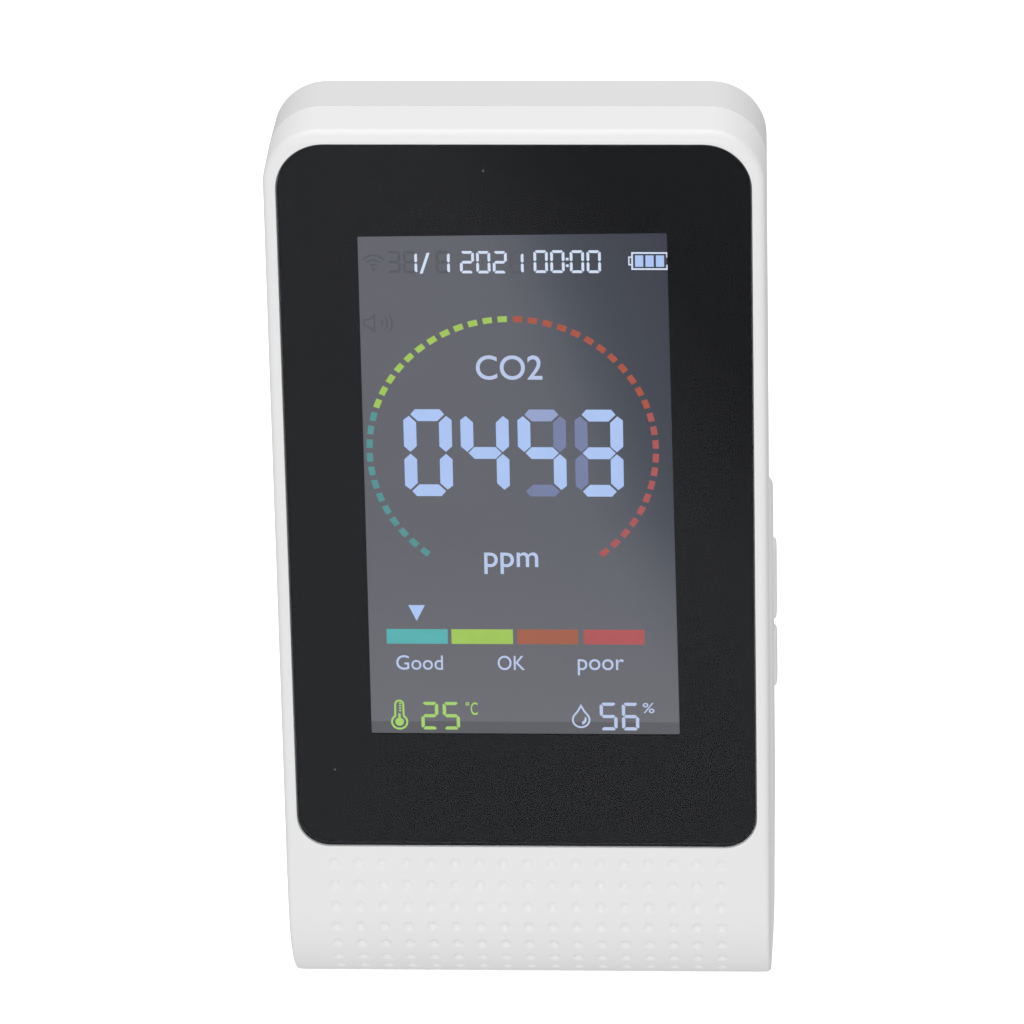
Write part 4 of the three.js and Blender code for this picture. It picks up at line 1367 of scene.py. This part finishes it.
def button(name):
    """A cap with a crowned face, the flange that keeps it in the wall, and the stem to its switch."""
    bottom, top = BUTTONS[name]
    middle = (bottom + top) / 2
    crown = [(shrink, BUTTON_FACE - drop) for shrink, drop in BUTTON_CROWN]
    body = stack(button_outline(name, 0), [(0, BUTTON_FLANGE), *crown], along_x)
    cap = to_object(name + "_cap", body, FACE)
    flange_end = BULGE_HALF - WALL - 0.3
    flange = [(0.1, BUTTON_FLANGE), (0, BUTTON_FLANGE + 0.1), (0, flange_end - 0.1), (0.1, flange_end)]
    join(cap, stack(button_outline(name, 0.6), flange, along_x))
    stem = rectangle(BUTTON_D - 1.2, BUTTON_D + 1.2, middle - 1.5, middle + 1.5, 0.3)
    join(cap, stack(stem, [(0.2, BUTTON_STEM), (0, BUTTON_STEM + 0.2), (0, BUTTON_FLANGE + 0.5)], along_x))
    finish_piece(cap, WHITE_BUTTON, body=name, slot="white_shell", replaces=[name], sharp=40)


for name in BUTTONS:
    button(name)

# ---------------------------------------------------------------- screws, socket, vent mesh and feet


def case_screw(name, x, s):
    """A pan-head screw with a cross recess, deep in its well."""
    seat, head, shank, tip = 14.35, 2.3, 1.2, 6.0
    ring = disc(x, s, head, 28)
    levels = [(0.08, seat), (0, seat + 0.08), (0, seat + 0.7)]
    levels += [(head * (1 - math.cos(a)), seat + 0.7 + 1.0 * math.sin(a)) for a in (0.3, 0.6, 0.85, 1.05)]
    screw = to_object(name + "_new", stack(ring, levels, along_d), FACE)
    thread = disc(x, s, shank, 20)
    turns = [(0.25 if i % 2 else 0.0, tip + 1.4 + 0.4 * i) for i in range(17)]
    join(screw, stack(thread, [(shank - 0.15, tip), *turns, (0.1, seat + 0.3)], along_d))
    for wide, tall in ((1.3, 0.28), (0.28, 1.3)):
        arm = box(x - wide, x + wide, s - tall, s + tall)
        cut(screw, stack(arm, [(0.22, seat + 0.6), (0, seat + 1.6), (0, seat + 2.6)], along_d))
    finish_piece(screw, STEEL, slot="steel", replaces=[name])


for i, place in enumerate(CASE_SCREWS):
    case_screw(f"case_screw_{i + 1}", *place)


def charging_socket():
    """A thin steel shell with rolled mouth edges, and a tongue with its row of contacts."""
    outline = port_outline(0, 1.5)
    mouth, back = -38.3, -31.0
    outside = [(0.12, mouth), (0, mouth + 0.1), (0, back - 0.1), (0.1, back)]
    inside = [(0.15, mouth - 1), (0.15, mouth), (0.3, mouth + 0.12), (0.3, back - 1)]
    socket = to_object("socket", stack(outline, outside, along_x), FACE)
    cut(socket, stack(outline, inside, along_x))
    join(socket, stack(
        rectangle(PORT_D - 0.35, PORT_D + 0.35, PORT_S - 3.3, PORT_S + 3.3, 0.2),
        [(0.15, mouth + 1), (0, mouth + 1.2), (0, back - 0.5)],
        along_x,
    ))
    finish_piece(socket, STEEL, slot="steel", replaces=["usb_socket"])
    contacts = []
    for side in (-1, 1):
        for i in range(6):
            s = PORT_S + (i - 2.5) * 0.95
            front = PORT_D + side * 0.36
            rail = box(min(front, front + side * 0.05), max(front, front + side * 0.05), s - 0.2, s + 0.2)
            contacts.append(stack(rail, [(0, mouth + 1.5), (0, mouth + 4.5)], along_x))
    piece("socket_contacts", merge(*contacts), GOLD, slot="gold_plate")


charging_socket()


def vent_mesh():
    """Fine wires in two layers behind the slots, in a thin rim."""
    low, high = (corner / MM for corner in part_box("vent_mesh"))
    wire, pitch, rim = 0.13, 0.75, 0.8
    middle = (low.y + high.y) / 2
    wires = []
    for axis, place, layer in ((0, along_d, -0.06), (2, along_d, 0.06)):
        count = int((high[axis] - low[axis] - 2 * rim) / pitch)
        first = (low[axis] + high[axis]) / 2 - (count - 1) * pitch / 2
        for i in range(count):
            at = first + i * pitch
            if axis == 0:
                strip = box(at - wire, at + wire, low.z + rim / 2, high.z - rim / 2)
            else:
                strip = box(low.x + rim / 2, high.x - rim / 2, at - wire, at + wire)
            wires.append(stack(strip, [(0, middle + layer - 0.055), (0, middle + layer + 0.055)], place))
    sides = [
        box(low.x, high.x, low.z, low.z + rim),
        box(low.x, high.x, high.z - rim, high.z),
        box(low.x, low.x + rim, low.z + rim, high.z - rim),
        box(high.x - rim, high.x, low.z + rim, high.z - rim),
    ]
    frame_bars = [stack(side, [(0, low.y), (0, high.y)], along_d) for side in sides]
    screen = merge(*wires, *frame_bars)
    piece("vent_screen", screen, FABRIC, UPRIGHT, slot="dust_mesh", replaces=["vent_mesh"])


vent_mesh()


def foot(name):
    """A rubber strip with rounded edges and shallow grooves along its underside."""
    low, high = (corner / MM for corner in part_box(name))
    outline = rectangle(low.x, high.x, low.y, high.y, 0.5)
    strip = to_object(name + "_new", stack(outline, [*low_edge(0.3, 0, 3), (0, high.z)], along_z), UPRIGHT)
    wide = high.y - low.y
    for i in (1, 2, 3):
        y = low.y + wide * i / 4
        groove = rectangle(low.x + 2, high.x - 2, y - 0.3, y + 0.3, 0.2)
        cut(strip, stack(groove, [(-0.1, -1), (-0.1, 0), (0.1, 0.35)], along_z), UPRIGHT)
    finish_piece(strip, RUBBER, slot="foot_rubber", replaces=[name])


for name in FEET:
    foot(name)

# ---------------------------------------------------------------- inner pieces, kept from the CAD model

INNER_FINISHES = [
    (FOAM, "glass_adhesive", "battery_pad"),
    (FROSTED, "lcd_backlight"),
    (TRAY, "display_carrier"),
    (FILM, "display_flex"),
    (CONNECTOR, "display_connector", "battery_connector"),
    (BOARD, "main_board", "sensor_board"),
    (BLACK_PLASTIC, "controller_chip", "humidity_sensor", "buzzer", "power_plunger", "set_plunger"),
    (GOLD, "co2_sensor"),
    (PAPER, "co2_filter"),
    (STEEL, "power_switch", "set_switch", *[f"board_screw_{i}" for i in (1, 2, 3, 4)]),
    (POUCH, "battery"),
    (RED_LEAD, "battery_lead_red"),
    (BLACK_LEAD, "battery_lead_black"),
]
for material, *names in INNER_FINISHES:
    for name in names:
        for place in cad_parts[name].material_slots:
            place.material = material

# ---------------------------------------------------------------- stage, lights and camera


LIT_POINT = Vector((0, 0, 0.075))  # where every light points


def area_light(name, place, size, power):
    data = bpy.data.lights.new(name, "AREA")
    data.shape = "RECTANGLE"
    data.size, data.size_y = size
    data.energy = power
    light = bpy.data.objects.new(name, data)
    light.location = place
    light.rotation_euler = (LIT_POINT - Vector(place)).to_track_quat("-Z", "Y").to_euler()
    bpy.context.scene.collection.objects.link(light)
    return light


def make_floor():
    made = Material("floor_paper", (0.9, 0.9, 0.9, 1), 0.9)
    made.set("Specular IOR Level", 0.0)
    paper = made.spread(made.noise(40.0), 0.86, 0.9)
    made.link(paper, made.shader.inputs["Base Color"])
    made.set("Emission Color", (1, 1, 1, 1))
    made.set("Emission Strength", 0.6)
    half = 4.0
    verts = [(-half, -half, 0), (half, -half, 0), (half, half, 0), (-half, half, 0)]
    floor = to_object("floor", (verts, [[0, 1, 2, 3]]), Matrix.Identity(4))
    floor.data.materials.append(made.material)
    floor.visible_diffuse = False
    floor.visible_glossy = False


make_floor()

ROOM_LIGHT = 0.56  # the room's brightness
FRONT_LIGHT = 0.05  # how much brighter it is in front
FLOOR_LIGHT = 0.1  # how much brighter it is below, where the table reflects


def make_world():
    """A soft white room, a little brighter in front and below than behind and above."""
    world = bpy.data.worlds.new("studio")
    world.use_nodes = True
    nodes, links = world.node_tree.nodes, world.node_tree.links
    direction = nodes.new("ShaderNodeTexCoord")
    axes = nodes.new("ShaderNodeSeparateXYZ")
    links.new(direction.outputs["Generated"], axes.inputs[0])
    total = ROOM_LIGHT
    for axis, extra in (("Y", FRONT_LIGHT), ("Z", FLOOR_LIGHT)):
        facing = nodes.new("ShaderNodeMath")
        facing.operation = "MINIMUM"
        links.new(axes.outputs[axis], facing.inputs[0])
        facing.inputs[1].default_value = 0.0
        level = nodes.new("ShaderNodeMath")
        level.operation = "MULTIPLY_ADD"
        links.new(facing.outputs[0], level.inputs[0])
        level.inputs[1].default_value = -extra
        if isinstance(total, float):
            level.inputs[2].default_value = total
        else:
            links.new(total, level.inputs[2])
        total = level.outputs[0]
    background = nodes["Background"]
    background.inputs["Color"].default_value = (1, 1, 1, 1)
    links.new(total, background.inputs["Strength"])
    bpy.context.scene.world = world


make_world()
bpy.context.scene.view_settings.view_transform = "Standard"

area_light("front_panel", (0.0, -2.2, 0.85), (1.6, 0.5), 20.0)
area_light("top_panel", (0.0, 1.0, 1.8), (1.6, 1.6), 19.0)
area_light("left_panel", (-1.6, -0.5, 1.0), (1.2, 1.2), 1.0)

CAMERA_AZIMUTH = math.radians(3.804)
CAMERA_ELEVATION = math.radians(34.535)
CAMERA_ROLL = math.radians(1.971)
CAMERA_DISTANCE = 1.2301
CAMERA_LENS = 281.51
AIM_RIGHT = -0.0012  # from the middle of the glass to the point the camera looks at
AIM_DOWN = 0.00136


def make_camera():
    forward = Vector((
        -math.sin(CAMERA_AZIMUTH) * math.cos(CAMERA_ELEVATION),
        math.cos(CAMERA_AZIMUTH) * math.cos(CAMERA_ELEVATION),
        -math.sin(CAMERA_ELEVATION),
    ))
    level = Vector((math.cos(CAMERA_AZIMUTH), math.sin(CAMERA_AZIMUTH), 0))
    above = level.cross(forward)
    right = level * math.cos(CAMERA_ROLL) - above * math.sin(CAMERA_ROLL)
    up = right.cross(forward)
    data = bpy.data.cameras.new("camera")
    data.lens = CAMERA_LENS
    data.sensor_width = 36
    data.clip_start, data.clip_end = 0.05, 20
    camera = bpy.data.objects.new("camera", data)
    turn = Matrix((right, up, -forward)).transposed().to_4x4()
    place = FACE_ORIGIN - forward * CAMERA_DISTANCE + right * AIM_RIGHT - up * AIM_DOWN
    camera.matrix_world = Matrix.Translation(place) @ turn
    bpy.context.scene.collection.objects.link(camera)
    bpy.context.scene.camera = camera


make_camera()
